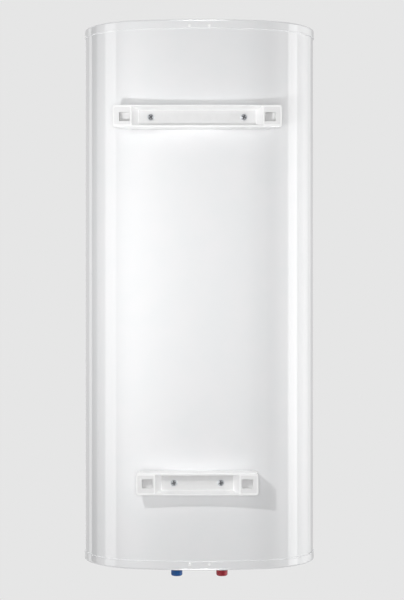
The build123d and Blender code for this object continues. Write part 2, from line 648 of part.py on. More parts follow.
def make_thread_cap(side):
    """A push-on plastic cap over a nipple's end."""
    low_z = THREAD_END_Z - THREAD_CAP_END
    inner_radius = PILOT_RADIUS + RUNNING_GAP
    with BuildPart() as thread_cap:
        with BuildSketch(Plane.XY.offset(low_z)):
            with Locations((side * NIPPLE_X, NIPPLE_Y)):
                Circle(THREAD_CAP_RADIUS)
        extrude(amount=THREAD_CAP_LENGTH)
        fillet(edges().group_by(Axis.Z)[0], THREAD_CAP_EDGE)
        with BuildSketch(Plane.XY.offset(THREAD_END_Z - 0.2)):
            with Locations((side * NIPPLE_X, NIPPLE_Y)):
                Circle(inner_radius)
        extrude(amount=THREAD_CAP_LENGTH, mode=Mode.SUBTRACT)
    return thread_cap.part


cold_thread_cap = make_thread_cap(1)
hot_thread_cap = make_thread_cap(-1)


# ---------------------------------------------------------------- immersion flanges
def flange_bolt_locations():
    """The five bolts round a flange's axis."""
    return PolarLocations(FLANGE_BOLT_CIRCLE, FLANGE_BOLTS, start_angle=90)


def make_flange_ring(side):
    """The welded ring under a tank, tapped for the flange bolts."""
    with BuildPart() as ring:
        with BuildSketch(Plane(origin=(side * TANK_X, MID_Y, RING_Z))):
            Circle(RING_RADIUS)
            Circle(RING_BORE, mode=Mode.SUBTRACT)
            with flange_bolt_locations():
                Circle(M6_RADIUS + TAPPED_ROOM, mode=Mode.SUBTRACT)
        extrude(amount=RING_HEIGHT)
        add(left_envelope if side < 0 else right_envelope, mode=Mode.SUBTRACT)
    return ring.part


def make_flange_gasket(side):
    """The rubber gasket between a ring and its flange plate."""
    with BuildPart() as gasket:
        with BuildSketch(Plane(origin=(side * TANK_X, MID_Y, PLATE_TOP_Z))):
            Circle(RING_RADIUS - 1)
            Circle(RING_BORE, mode=Mode.SUBTRACT)
            with flange_bolt_locations():
                Circle(M6_RADIUS + BOLT_HOLE_ROOM, mode=Mode.SUBTRACT)
        extrude(amount=GASKET_SHEET)
    return gasket.part


def make_flange_plate(side):
    """The plate that closes a tank and carries its element, anode and thermowell."""
    with BuildPart() as plate:
        with BuildSketch(Plane(origin=(side * TANK_X, MID_Y, PLATE_Z))):
            Circle(RING_RADIUS)
            with flange_bolt_locations():
                Circle(M6_RADIUS + BOLT_HOLE_ROOM, mode=Mode.SUBTRACT)
            with Locations((-ELEMENT_HALF_PITCH, ELEMENT_Y), (ELEMENT_HALF_PITCH, ELEMENT_Y)):
                Circle(ELEMENT_RADIUS, mode=Mode.SUBTRACT)
            with Locations((0, THERMOWELL_Y)):
                Circle(THERMOWELL_RADIUS, mode=Mode.SUBTRACT)
        extrude(amount=PLATE_SHEET)
    return plate.part


def make_heating_element(side):
    """A hairpin tube element, with its tails through the flange plate."""
    low_z = PLATE_Z - ELEMENT_TAIL
    high_z = PLATE_Z + ELEMENT_RISE
    x, y = side * TANK_X, MID_Y + ELEMENT_Y
    with BuildPart() as element:
        with BuildLine() as hairpin:
            left = Line((x - ELEMENT_HALF_PITCH, y, low_z), (x - ELEMENT_HALF_PITCH, y, high_z))
            bend = ThreePointArc(left @ 1, (x, y, high_z + ELEMENT_HALF_PITCH),
                                 (x + ELEMENT_HALF_PITCH, y, high_z))
            Line(bend @ 1, (x + ELEMENT_HALF_PITCH, y, low_z))
        with BuildSketch(Plane(origin=hairpin.line @ 0, z_dir=(0, 0, 1))):
            Circle(ELEMENT_RADIUS)
        sweep()
    return element.part


def make_anode(side):
    """A magnesium rod on the inside of the flange plate."""
    with BuildPart() as anode:
        with BuildSketch(Plane(origin=(side * TANK_X, MID_Y + ANODE_Y, PLATE_TOP_Z))):
            Circle(ANODE_CORE_RADIUS)
        extrude(amount=ANODE_STAND)
        with BuildSketch(Plane(origin=(side * TANK_X, MID_Y + ANODE_Y, PLATE_TOP_Z + ANODE_STAND))):
            Circle(ANODE_RADIUS)
        extrude(amount=ANODE_LENGTH)
    return anode.part


def make_thermowell(side):
    """A closed tube through the flange plate for the temperature probe."""
    low_z = PLATE_Z - THERMOWELL_TAIL
    with BuildPart() as thermowell:
        with BuildSketch(Plane(origin=(side * TANK_X, MID_Y + THERMOWELL_Y, low_z))):
            Circle(THERMOWELL_RADIUS)
        extrude(amount=THERMOWELL_LENGTH)
        with BuildSketch(Plane(origin=(side * TANK_X, MID_Y + THERMOWELL_Y, low_z))):
            Circle(PROBE_RADIUS + RUNNING_GAP)
        extrude(amount=THERMOWELL_LENGTH - THERMOWELL_END, mode=Mode.SUBTRACT)
    return thermowell.part


with BuildPart() as flange_bolts:
    head_radius, head_height = FLANGE_BOLT_HEAD
    for side in (-1, 1):
        with BuildSketch(Plane(origin=(side * TANK_X, MID_Y, PLATE_Z - head_height))):
            with flange_bolt_locations():
                RegularPolygon(head_radius, 6)
        extrude(amount=head_height)
        with BuildSketch(Plane(origin=(side * TANK_X, MID_Y, PLATE_Z))):
            with flange_bolt_locations():
                Circle(M6_RADIUS)
        extrude(amount=PLATE_SHEET + GASKET_SHEET + FLANGE_BOLT_GRIP)

with BuildPart() as temperature_probes:
    with BuildSketch(Plane.XY.offset(PLATE_Z - PROBE_TAIL)):
        with Locations((-TANK_X, MID_Y + THERMOWELL_Y), (TANK_X, MID_Y + THERMOWELL_Y)):
            Circle(PROBE_RADIUS)
    extrude(amount=THERMOWELL_LENGTH - PROBE_END_ROOM)

# ---------------------------------------------------------------- insulation
with BuildPart() as insulation_foam:
    foam_top_z = TOP_Z - JACKET_END_INSET
    with BuildSketch(level(FOAM_BOTTOM_Z)):
        oval(-JACKET_SHEET)
    extrude(amount=foam_top_z - FOAM_BOTTOM_Z)
    add(left_envelope, mode=Mode.SUBTRACT)
    add(right_envelope, mode=Mode.SUBTRACT)
    with BuildSketch(Plane.XY.offset(FOAM_BOTTOM_Z - 1)):
        with Locations((-TANK_X, MID_Y), (TANK_X, MID_Y)):
            Circle(RING_RADIUS)
        with Locations((-NIPPLE_X, NIPPLE_Y), (NIPPLE_X, NIPPLE_Y)):
            Circle(NIPPLE_RADIUS)
    extrude(amount=NIPPLE_TOP_Z - FOAM_BOTTOM_Z, mode=Mode.SUBTRACT)
    with BuildSketch(Plane.YZ.offset(-TRANSFER_REACH)):
        with Locations((MID_Y, UPPER_TRANSFER_Z), (MID_Y, LOWER_TRANSFER_Z)):
            Circle(TRANSFER_RADIUS)
    extrude(amount=2 * TRANSFER_REACH, mode=Mode.SUBTRACT)
    for bracket in (UPPER, LOWER):
        with BuildSketch(Plane.XZ.offset(-STRAP_Y)):
            strap_blank(bracket)
        extrude(amount=STRAP_SHEET, mode=Mode.SUBTRACT)
    with BuildSketch(Plane.XZ.offset(WALL_GAP)):
        with Locations(*ALL_BOLT_PLACES):
            Circle(BOSS_RADIUS)
    extrude(amount=REAR_Y - STRAP_Y, mode=Mode.SUBTRACT)
    with BuildSketch(Plane.XZ.offset(WALL_GAP)):
        with Locations(*CAP_SCREW_PLACES):
            Circle(CAP_SCREW_POCKET[0])
    extrude(amount=CAP_SCREW_POCKET[1], mode=Mode.SUBTRACT)

# ---------------------------------------------------------------- control panel
panel_front = facing((0, PANEL_Y, PANEL_Z), (0, 1, 0))      # local x is +X, local y is -Z
button_places = [(x, 0) for x in BUTTON_X.values()]
lens_places = [(x, -LENS_RISE) for x in LENS_X]
spigot_size = [side - SPIGOT_ROOM for side in PANEL_OPENING]
spigot_bore = [side - 2 * PANEL_WALL for side in spigot_size]
post_pitch = [side - POST_INSET for side in BOARD_SIZE]

with BuildPart() as body_envelope:
    with BuildSketch(level(BOTTOM_Z)):
        oval()
    extrude(amount=BODY_HEIGHT)

with BuildPart() as control_panel:
    with BuildSketch(panel_front):
        RectangleRounded(PANEL_WIDTH, PANEL_HEIGHT, PANEL_CORNER)
    extrude(amount=PANEL_PROUD + drop_at(PANEL_WIDTH / 2) + 0.5)
    fillet(edges().group_by(Axis.Y)[0], PANEL_EDGE)
    add(body_envelope.part, mode=Mode.SUBTRACT)
    with BuildSketch(panel_front.offset(PANEL_WALL)):
        RectangleRounded(*spigot_bore, PANEL_OPENING_CORNER - 3)
    extrude(amount=3 * PANEL_PROUD, mode=Mode.SUBTRACT)
    # the spigot through the jacket's opening
    with BuildSketch(panel_front.offset(PANEL_WALL)):
        RectangleRounded(*spigot_size, PANEL_OPENING_CORNER - SPIGOT_ROOM / 2)
        RectangleRounded(*spigot_bore, PANEL_OPENING_CORNER - 3, mode=Mode.SUBTRACT)
    extrude(amount=BOARD_DEPTH)
    # posts for the board
    with BuildSketch(panel_front.offset(PANEL_WALL)):
        with GridLocations(*post_pitch, 2, 2):
            Circle(POST_RADIUS)
    extrude(amount=BOARD_DEPTH - PANEL_WALL)
    with BuildSketch(panel_front.offset(PANEL_WALL + 2)):
        with GridLocations(*post_pitch, 2, 2):
            Circle(POST_BORE)
    extrude(amount=BOARD_DEPTH, mode=Mode.SUBTRACT)
    # knob shaft, buttons, lenses, display pocket with its window
    with BuildSketch(panel_front):
        with Locations((KNOB_X, 0)):
            Circle(KNOB_SHAFT_RADIUS + RUNNING_GAP)
        with Locations(*button_places):
            RectangleRounded(BUTTON_SIZE[0] + 2 * RUNNING_GAP, BUTTON_SIZE[1] + 2 * RUNNING_GAP,
                             BUTTON_CORNER + RUNNING_GAP)
        with Locations(*lens_places):
            Circle(LENS_RADIUS)
        with Locations((DISPLAY_X, 0)):
            RectangleRounded(DISPLAY_SIZE[0] - 2 * DISPLAY_LEDGE, DISPLAY_SIZE[1] - 2 * DISPLAY_LEDGE,
                             DISPLAY_CORNER / 2)
    extrude(amount=PANEL_WALL, mode=Mode.SUBTRACT)
    with BuildSketch(panel_front):
        with Locations((DISPLAY_X, 0)):
            RectangleRounded(*DISPLAY_SIZE, DISPLAY_CORNER)
    extrude(amount=DISPLAY_SHEET, mode=Mode.SUBTRACT)

with BuildPart() as display_window:
    with BuildSketch(panel_front):
        with Locations((DISPLAY_X, 0)):
            RectangleRounded(*DISPLAY_SIZE, DISPLAY_CORNER)
    extrude(amount=DISPLAY_SHEET)

with BuildPart() as indicator_lenses:
    with BuildSketch(panel_front.offset(-LENS_PROUD)):
        with Locations(*lens_places):
            Circle(LENS_RADIUS)
    extrude(amount=LENS_LENGTH)

with BuildPart() as temperature_knob:
    with BuildSketch(facing((KNOB_X, PANEL_Y - RUNNING_GAP, PANEL_Z), (0, -1, 0))):
        Circle(KNOB_RADIUS)
    extrude(amount=KNOB_HEIGHT, taper=KNOB_TAPER)
    fillet(edges().group_by(Axis.Y)[0], KNOB_EDGE)
    # grip flutes round the rim
    with BuildSketch(facing((KNOB_X, PANEL_Y - RUNNING_GAP - KNOB_SKIRT, PANEL_Z), (0, -1, 0))):
        with PolarLocations(KNOB_FLUTE_CIRCLE, KNOB_FLUTES):
            Circle(KNOB_FLUTE_RADIUS)
    extrude(amount=KNOB_HEIGHT, mode=Mode.SUBTRACT)
    # pointer groove on the face
    groove_y = PANEL_Y - RUNNING_GAP - KNOB_HEIGHT + KNOB_POINTER_DEPTH
    with BuildSketch(facing((KNOB_X, groove_y, PANEL_Z), (0, -1, 0))):
        with Locations((0, KNOB_POINTER_Y)):
            RectangleRounded(*KNOB_POINTER)
    extrude(amount=2 * KNOB_POINTER_DEPTH, mode=Mode.SUBTRACT)
    with BuildSketch(facing((KNOB_X, PANEL_Y - RUNNING_GAP, PANEL_Z), (0, 1, 0))):
        Circle(KNOB_SHAFT_RADIUS)
    extrude(amount=BOARD_DEPTH - KNOB_SHAFT_RADIUS)


def make_button(x):
    """A push button with a retaining flange behind the panel's face and a stem to its switch."""
    with BuildPart() as button:
        with BuildSketch(facing((x, PANEL_Y - BUTTON_PROUD, PANEL_Z), (0, 1, 0))):
            RectangleRounded(*BUTTON_SIZE, BUTTON_CORNER)
        extrude(amount=BUTTON_PROUD + PANEL_WALL + RUNNING_GAP)
        fillet(edges().group_by(Axis.Y)[0], BUTTON_EDGE)
        behind = facing((x, PANEL_Y + PANEL_WALL + RUNNING_GAP, PANEL_Z), (0, 1, 0))
        with BuildSketch(behind):
            RectangleRounded(BUTTON_SIZE[0] + 2 * BUTTON_FLANGE[0], BUTTON_SIZE[1] + 2 * BUTTON_FLANGE[0],
                             BUTTON_CORNER + BUTTON_EDGE)
        extrude(amount=BUTTON_FLANGE[1])
        with BuildSketch(behind):
            Circle(BUTTON_STEM_RADIUS)
        extrude(amount=BOARD_DEPTH - PANEL_WALL - 2 * RUNNING_GAP - SWITCH_SIZE[1] - BUTTON_TRAVEL)
    return button.part


power_button = make_button(BUTTON_X["power_button"])
mode_button = make_button(BUTTON_X["mode_button"])

with BuildPart() as control_board:
    with BuildSketch(facing((0, BOARD_Y, PANEL_Z), (0, 1, 0))):
        RectangleRounded(*BOARD_SIZE, BOARD_CORNER)
        with GridLocations(*post_pitch, 2, 2):
            Circle(POST_HOLE_RADIUS, mode=Mode.SUBTRACT)
    extrude(amount=BOARD_SHEET)

with BuildPart() as board_switches:
    with BuildSketch(facing((0, BOARD_Y, PANEL_Z), (0, -1, 0))):
        with Locations(*button_places):
            RectangleRounded(SWITCH_SIZE[0], SWITCH_SIZE[0], SWITCH_SIZE[0] / 10)
    extrude(amount=SWITCH_SIZE[1])

with BuildPart() as knob_encoder:
    with BuildSketch(facing((KNOB_X, BOARD_Y, PANEL_Z), (0, -1, 0))):
        RectangleRounded(ENCODER_SIZE[0], ENCODER_SIZE[1], 1.0)
        Circle(KNOB_SHAFT_RADIUS + RUNNING_GAP, mode=Mode.SUBTRACT)
    extrude(amount=ENCODER_SIZE[2])

with BuildPart() as display_module:
    with BuildSketch(facing((DISPLAY_X, BOARD_Y, PANEL_Z), (0, -1, 0))):
        RectangleRounded(DISPLAY_SIZE[0] - 2 * MODULE_INSET, DISPLAY_SIZE[1] - 2 * MODULE_INSET, 1.0)
    extrude(amount=BOARD_DEPTH - PANEL_WALL - 1.0)

with BuildPart() as board_screws:
    for post_x in (-post_pitch[0] / 2, post_pitch[0] / 2):
        for post_z in (PANEL_Z - post_pitch[1] / 2, PANEL_Z + post_pitch[1] / 2):
            screw((post_x, BOARD_Y + BOARD_SHEET, post_z), (0, 1, 0), *BOARD_SCREW)

# ---------------------------------------------------------------- service space
with BuildPart() as component_tray:
    with BuildSketch(Plane(origin=(0, TRAY_Y, TRAY_Z))):
        RectangleRounded(*TRAY_SIZE, TRAY_CORNER)
    extrude(amount=TRAY_SHEET)

cutout_bottom_z = TRAY_Z - CUTOUT_SIZE[2]
with BuildPart() as thermal_cutout:
    with BuildSketch(Plane(origin=(0, CUTOUT_Y, cutout_bottom_z))):
        RectangleRounded(CUTOUT_SIZE[0], CUTOUT_SIZE[1], CUTOUT_CORNER)
    extrude(amount=CUTOUT_SIZE[2])
    fillet(edges().group_by(Axis.Z)[0], CUTOUT_EDGE)
    with BuildSketch(Plane(origin=(0, CUTOUT_Y, cutout_bottom_z))):
        Circle(RESET_RADIUS + RUNNING_GAP)
    extrude(amount=RESET_SOCKET, mode=Mode.SUBTRACT)

with BuildPart() as reset_button:
    with BuildSketch(Plane(origin=(0, CUTOUT_Y, cutout_bottom_z - RESET_PROUD))):
        Circle(RESET_RADIUS)
    extrude(amount=RESET_PROUD + RESET_SOCKET - RESET_TRAVEL - RUNNING_GAP)
    fillet(edges().group_by(Axis.Z)[0], RESET_EDGE)

with BuildPart() as terminal_block:
    with BuildSketch(Plane(origin=(0, TERMINAL_Y, TRAY_Z))):
        Rectangle(TERMINAL_SIZE[0], TERMINAL_SIZE[1])
    extrude(amount=-TERMINAL_SIZE[2])
    with BuildSketch(Plane(origin=(0, TERMINAL_Y, TRAY_Z - TERMINAL_SIZE[2]))):
        with GridLocations(TERMINAL_PITCH, TERMINAL_PITCH, 4, 2):
            Circle(TERMINAL_HOLE[0])
    extrude(amount=TERMINAL_HOLE[1], mode=Mode.SUBTRACT)

# four insulated leads from the terminal block's sides to the elements' tails
with BuildPart() as element_leads:
    tail_z = PLATE_Z - ELEMENT_TAIL
    for side in (-1, 1):
        for far, drop in LEAD_DROPS.items():
            tail_x = side * (TANK_X + far * ELEMENT_HALF_PITCH)
            start_x = side * (TERMINAL_PITCH - far * TERMINAL_PITCH / 2)
            lead_z = tail_z - drop
            with BuildLine() as route:
                FilletPolyline((start_x, LEAD_START_Y, TRAY_Z - TERMINAL_SIZE[2]),
                               (start_x, LEAD_START_Y, lead_z),
                               (tail_x, MID_Y + ELEMENT_Y, lead_z),
                               (tail_x, MID_Y + ELEMENT_Y, tail_z), radius=LEAD_BEND)
            with BuildSketch(Plane(origin=route.line @ 0, z_dir=(0, 0, 1))):
                Circle(LEAD_RADIUS)
            sweep()

with BuildPart() as cable_gland:
    gland_foot = Plane(origin=(0, GLAND_Y, BOTTOM_Z - GLAND_HEX_HEIGHT))
    with BuildSketch(gland_foot):
        RegularPolygon(GLAND_HEX / 2, 6, major_radius=False)
    extrude(amount=GLAND_HEX_HEIGHT)
    with BuildSketch(gland_foot):
        Circle(GLAND_DOME_RADIUS)
    extrude(amount=-(GLAND_REACH - GLAND_HEX_HEIGHT), taper=GLAND_DOME_TAPER)
    fillet(edges().group_by(Axis.Z)[0], GLAND_DOME_EDGE)
    with BuildSketch(Plane(origin=(0, GLAND_Y, BOTTOM_Z))):
        Circle(GLAND_THREAD_RADIUS)
    extrude(amount=GLAND_THREAD_LENGTH)
    with BuildSketch(Plane(origin=(0, GLAND_Y, BOTTOM_Z - GLAND_REACH))):
        Circle(GLAND_BORE)
    extrude(amount=GLAND_REACH + GLAND_THREAD_LENGTH, mode=Mode.SUBTRACT)

with BuildPart() as gland_nut:
    with BuildSketch(Plane(origin=(0, GLAND_Y, BOTTOM_Z + CAP_PLATE))):
        RegularPolygon(GLAND_HEX / 2, 6, major_radius=False)
        Circle(GLAND_THREAD_RADIUS + TAPPED_ROOM, mode=Mode.SUBTRACT)
    extrude(amount=GLAND_HEX_HEIGHT)

# ---------------------------------------------------------------- nodes
pieces = {
    "jacket": jacket.part,
    "top_cap": top_cap.part,
    "bottom_cap": bottom_cap.part,
    "cap_screws": cap_screws.part,
    "upper_bracket": upper_bracket,
    "lower_bracket": lower_bracket,
    "bracket_washers": bracket_washers.part,
    "bracket_bolts": bracket_bolts.part,
    "upper_strap": upper_strap,
    "lower_strap": lower_strap,
    "strap_bosses": strap_bosses.part,
    "left_tank": left_tank,
    "right_tank": right_tank,
    "upper_transfer_pipe": upper_transfer_pipe,
    "lower_transfer_pipe": lower_transfer_pipe,
    "cold_nipple": cold_nipple,
    "hot_nipple": hot_nipple,
    "inlet_diffuser": inlet_diffuser.part,
    "hot_outlet_tube": hot_outlet_tube.part,
    "cold_thread_cap": cold_thread_cap,
    "hot_thread_cap": hot_thread_cap,
    "flange_bolts": flange_bolts.part,
    "temperature_probes": temperature_probes.part,
    "insulation_foam": insulation_foam.part,
    "control_panel": control_panel.part,
    "display_window": display_window.part,
    "display_module": display_module.part,
    "indicator_lenses": indicator_lenses.part,
    "temperature_knob": temperature_knob.part,
    "power_button": power_button,
    "mode_button": mode_button,
    "control_board": control_board.part,
    "board_switches": board_switches.part,
    "board_screws": board_screws.part,
    "knob_encoder": knob_encoder.part,
    "component_tray": component_tray.part,
    "thermal_cutout": thermal_cutout.part,
    "reset_button": reset_button.part,
    "terminal_block": terminal_block.part,
    "element_leads": element_leads.part,
    "cable_gland": cable_gland.part,
    "gland_nut": gland_nut.part,
}
for side_name, side in (("left", -1), ("right", 1)):
    pieces[f"{side_name}_flange_ring"] = make_flange_ring(side)
    pieces[f"{side_name}_flange_gasket"] = make_flange_gasket(side)
    pieces[f"{side_name}_flange_plate"] = make_flange_plate(side)
    pieces[f"{side_name}_heating_element"] = make_heating_element(side)
    pieces[f"{side_name}_anode"] = make_anode(side)
    pieces[f"{side_name}_thermowell"] = make_thermowell(side)

os.makedirs("parts", exist_ok=True)
for name, part in pieces.items():
    part.label = name
    export_step(part, f"parts/{name}.step")
    print(f"{name:22s} {part.volume / 1000:10.2f} cm3")
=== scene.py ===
"""Looks of a flat, wall-hung, twin-tank water heater: meshes, finishes, studio and camera.

Lengths are metres in the part's own frame. The wall is the plane y = 0, the heater hangs in front of
it on -Y with its control panel facing -Y, and +Z is up.
"""

import sys

import logging
import math
from dataclasses import dataclass
from enum import Enum
from functools import cache
from typing import Any, Callable, Sequence

import bmesh
import bpy
from mathutils import Euler, Matrix, Vector


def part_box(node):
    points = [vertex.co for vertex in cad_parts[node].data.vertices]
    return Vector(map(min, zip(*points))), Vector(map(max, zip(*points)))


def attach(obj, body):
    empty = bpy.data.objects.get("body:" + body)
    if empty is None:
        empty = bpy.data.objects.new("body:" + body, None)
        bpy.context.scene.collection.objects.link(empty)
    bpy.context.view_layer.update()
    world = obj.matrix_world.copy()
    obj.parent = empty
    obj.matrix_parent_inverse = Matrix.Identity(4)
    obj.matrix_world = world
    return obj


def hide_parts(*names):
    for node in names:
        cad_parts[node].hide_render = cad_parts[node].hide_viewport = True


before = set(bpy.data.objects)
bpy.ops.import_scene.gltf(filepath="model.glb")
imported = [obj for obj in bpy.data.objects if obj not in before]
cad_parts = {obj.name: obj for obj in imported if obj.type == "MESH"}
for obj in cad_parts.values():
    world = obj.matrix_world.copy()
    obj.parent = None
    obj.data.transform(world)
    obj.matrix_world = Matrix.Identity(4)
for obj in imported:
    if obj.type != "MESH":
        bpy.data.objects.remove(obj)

LOG = logging.getLogger("water_heater")
MM = 0.001
MERGE = 0.001 * MM              # vertices nearer than this are one
CAD_MERGE = 0.002 * MM          # the same, for corners of a CAD node's loose triangles
CAD_FLAT = math.radians(0.3)    # a CAD node's faces that turn less than this are one
CREASE = math.radians(32)       # edges that turn more than this are sharp

BMesh, BMVert = bmesh.types.BMesh, bmesh.types.BMVert
GeometryTree, Material, Node = bpy.types.GeometryNodeTree, bpy.types.Material, bpy.types.Node
NodeOutputs, NodeTree, Object, Socket = (bpy.types.NodeOutputs, bpy.types.NodeTree, bpy.types.Object,
                                         bpy.types.NodeSocket)
Ring = list[Vector]
Profile = list[tuple[float, float]]
Pairs = tuple[tuple[float, float], ...]
Levels = tuple[tuple[float, float, float], ...]


class Body(Enum):
    """The bodies that pieces ride on."""

    HEATER = "heater"
    KNOB = "temperature_knob"
    POWER = "power_button"
    MODE = "mode_button"
    COLD_CAP = "cold_thread_cap"
    HOT_CAP = "hot_thread_cap"


class End(Enum):
    """The two ends of the body, as the way each one faces."""

    TOP = 1
    BOTTOM = -1


class Service(Enum):
    """The two water connections: name and the cap's body."""

    COLD = ("cold", Body.COLD_CAP)
    HOT = ("hot", Body.HOT_CAP)


# ---------------------------------------------------------------- nodes and colours
def linear(colour: str) -> tuple[float, float, float, float]:
    """Turns an sRGB hex colour to the linear values that shaders take.

    Args:
        colour: The colour as "#rrggbb".

    Returns:
        Red, green, blue and alpha.
    """
    parts = (int(colour[i:i + 2], 16) / 255 for i in (1, 3, 5))
    red, green, blue = (p / 12.92 if p <= 0.04045 else ((p + 0.055) / 1.055) ** 2.4 for p in parts)
    return red, green, blue, 1.0


def add_node(tree: NodeTree, kind: str, inputs: dict | None = None, **settings: Any) -> Node:
    """Adds one node, sets it up and links it.

    Args:
        tree: The node tree.
        kind: The node's type.
        inputs: Input socket, by name or number, to a value or to the output socket that feeds it.
        **settings: The node's own settings.

    Returns:
        The new node.
    """
    node = tree.nodes.new(kind)
    for name, value in settings.items():
        setattr(node, name, value)
    for socket, value in (inputs or {}).items():
        if isinstance(value, Socket):
            tree.links.new(value, node.inputs[socket])
        else:
            node.inputs[socket].default_value = value
    return node


def empty_tree(owner: bpy.types.ID) -> NodeTree:
    """Gives a material or a world an empty node tree.

    Args:
        owner: The material or the world.

    Returns:
        The tree.
    """
    owner.use_nodes = True
    owner.node_tree.nodes.clear()
    return owner.node_tree


# ---------------------------------------------------------------- finishes
@dataclass(frozen=True)
class Finish:
    """A surface finish: its colours, its gloss and the fine relief that its making leaves.

    Attributes:
        name: The finish's common name.
        slot: The record's material slot that it stands for; the script does not use it.
        colour: Main colour, sRGB hex.
        shade: Colour of its faint patches, sRGB hex.
        roughness: Roughness in the main colour and in the patches.
        patch: Width of a patch.
        grain: Width of a grain of the relief.
        relief: Height of a grain of the relief.
        metallic: 1 for bare metal, 0 for all else.
        stretch: How much finer the pattern is along each axis.
        sockets: Other shader sockets, each with the one value it has all over.
    """

    name: str
    slot: str
    colour: str
    shade: str
    roughness: tuple[float, float]
    patch: float
    grain: float
    relief: float
    metallic: float = 0.0
    stretch: tuple[float, float, float] = (1.0, 1.0, 1.0)
    sockets: tuple[tuple[str, Any], ...] = ()

    def patches(self, tree: NodeTree, place: Socket) -> Socket:
        """Soft clouds between the main colour, 0, and the shade, 1.

        Args:
            tree: The finish's node tree.
            place: The point, in the object's own space.

        Returns:
            How far the point is from the main colour to the shade.
        """
        clouds = {"Vector": place, "Scale": 1 / self.patch, "Detail": 3.0}
        clouds = add_node(tree, "ShaderNodeTexNoise", clouds)
        spread = {"Value": clouds.outputs["Fac"], "From Min": 0.35, "From Max": 0.65}
        return add_node(tree, "ShaderNodeMapRange", spread).outputs["Result"]

    def height(self, tree: NodeTree, place: Socket) -> Socket:
        """The relief's height, from 0 to 1."""
        grains = {"Vector": place, "Scale": 1 / self.grain, "Detail": 2.0}
        return add_node(tree, "ShaderNodeTexNoise", grains).outputs["Fac"]

    def material(self) -> Material:
        """Builds the finish as a node material.

        Returns:
            The material.
        """
        material = bpy.data.materials.new(self.name)
        tree = empty_tree(material)
        place = {"Vector": add_node(tree, "ShaderNodeTexCoord").outputs["Object"], "Scale": self.stretch}
        place = add_node(tree, "ShaderNodeMapping", place).outputs["Vector"]
        patches = self.patches(tree, place)
        colours = {0: patches, 6: linear(self.colour), 7: linear(self.shade)}
        colour = add_node(tree, "ShaderNodeMix", colours, data_type="RGBA").outputs[2]
        gloss = {"Value": patches, "To Min": self.roughness[0], "To Max": self.roughness[1]}
        roughness = add_node(tree, "ShaderNodeMapRange", gloss).outputs["Result"]
        relief = {"Height": self.height(tree, place), "Distance": self.relief}
        normal = add_node(tree, "ShaderNodeBump", relief).outputs["Normal"]
        sockets = {"Base Color": colour, "Roughness": roughness, "Normal": normal, "Metallic": self.metallic}
        shader = add_node(tree, "ShaderNodeBsdfPrincipled", {**sockets, **dict(self.sockets)})
        add_node(tree, "ShaderNodeOutputMaterial", {"Surface": shader.outputs["BSDF"]})
        return material


@dataclass(frozen=True)
class SpangledZinc(Finish):
    """Zinc plating: small crystals that catch the light one by one."""

    def patches(self, tree: NodeTree, place: Socket) -> Socket:
        """One even value for each crystal."""
        crystals = add_node(tree, "ShaderNodeTexVoronoi", {"Vector": place, "Scale": 1 / self.patch})
        return add_node(tree, "ShaderNodeSeparateColor", {"Color": crystals.outputs["Color"]}).outputs["Red"]


@dataclass(frozen=True)
class CellularFoam(Finish):
    """Poured foam: round cells, each a shallow pit."""

    def height(self, tree: NodeTree, place: Socket) -> Socket:
        """High at a cell's middle and low at its walls."""
        cells = add_node(tree, "ShaderNodeTexVoronoi", {"Vector": place, "Scale": 1 / self.grain})
        return cells.outputs["Distance"]


@dataclass(frozen=True)
class SpeckledGlaze(Finish):
    """Fired glass enamel: a dark glaze with fine pale specks."""

    def patches(self, tree: NodeTree, place: Socket) -> Socket:
        """Specks at the middles of scattered cells.

        Args:
            tree: The finish's node tree.
            place: The point, in the object's own space.

        Returns:
            1 in a speck and 0 round it.
        """
        cells = add_node(tree, "ShaderNodeTexVoronoi", {"Vector": place, "Scale": 1 / self.patch})
        specks = {"Value": cells.outputs["Distance"], "From Min": 0.22, "From Max": 0.1}
        return add_node(tree, "ShaderNodeMapRange", specks).outputs["Result"]


@dataclass(frozen=True)
class TrackedLaminate(Finish):
    """Circuit board: solder mask over copper tracks, which stand up as pale lines."""

    def patches(self, tree: NodeTree, place: Socket) -> Socket:
        """Lines along the tracks.

        Args:
            tree: The finish's node tree.
            place: The point, in the object's own space.

        Returns:
            1 on a track and 0 beside it.
        """
        turned = add_node(tree, "ShaderNodeMapping", {"Vector": place, "Rotation": (math.pi / 2, 0, 0)})
        bricks = {"Vector": turned.outputs["Vector"], "Scale": 1 / self.patch, "Mortar Size": 0.06}
        return add_node(tree, "ShaderNodeTexBrick", bricks).outputs["Fac"]


# Stoved enamel on sheet steel: it levels as it bakes, so reflections are crisp, with a faint orange
# peel about 7 mm from crest to crest.
JACKET_ENAMEL = Finish("gloss_stoved_enamel", "white_enamelled_steel", "#EDEDEE", "#EBECED", (0.015, 0.025),
                       60 * MM, 7 * MM, 0.004 * MM, sockets=(("IOR", 1.52),))
# ABS from a polished mould: nearly as glossy as the enamel. Its skin is too fine to show, so its grain
# is drawn at 0.8 mm.
CAP_ABS = Finish("polished_moulded_abs", "white_abs", "#EDEDEE", "#EBECED", (0.03, 0.045),
                 25 * MM, 0.8 * MM, 0.002 * MM, sockets=(("IOR", 1.54),))
# Powder coat on pressed steel: duller and less level than enamel, with an orange peel 2.2 mm wide.
# Its matt micro-relief lightens it at a slant, which the sheen stands for.
# Its colour is a shade whiter than the enamel's: painted light on the walls and rims, against the greyer
# sheets of painted shade on the flat faces.
BRACKET_POWDER_COAT = Finish("white_powder_coat", "white_powder_coat", "#F8F8F8", "#F6F6F6", (0.28, 0.36),
                             18 * MM, 2.2 * MM, 0.02 * MM,
                             sockets=(("IOR", 1.5), ("Sheen Weight", 0.3), ("Sheen Roughness", 0.6)))
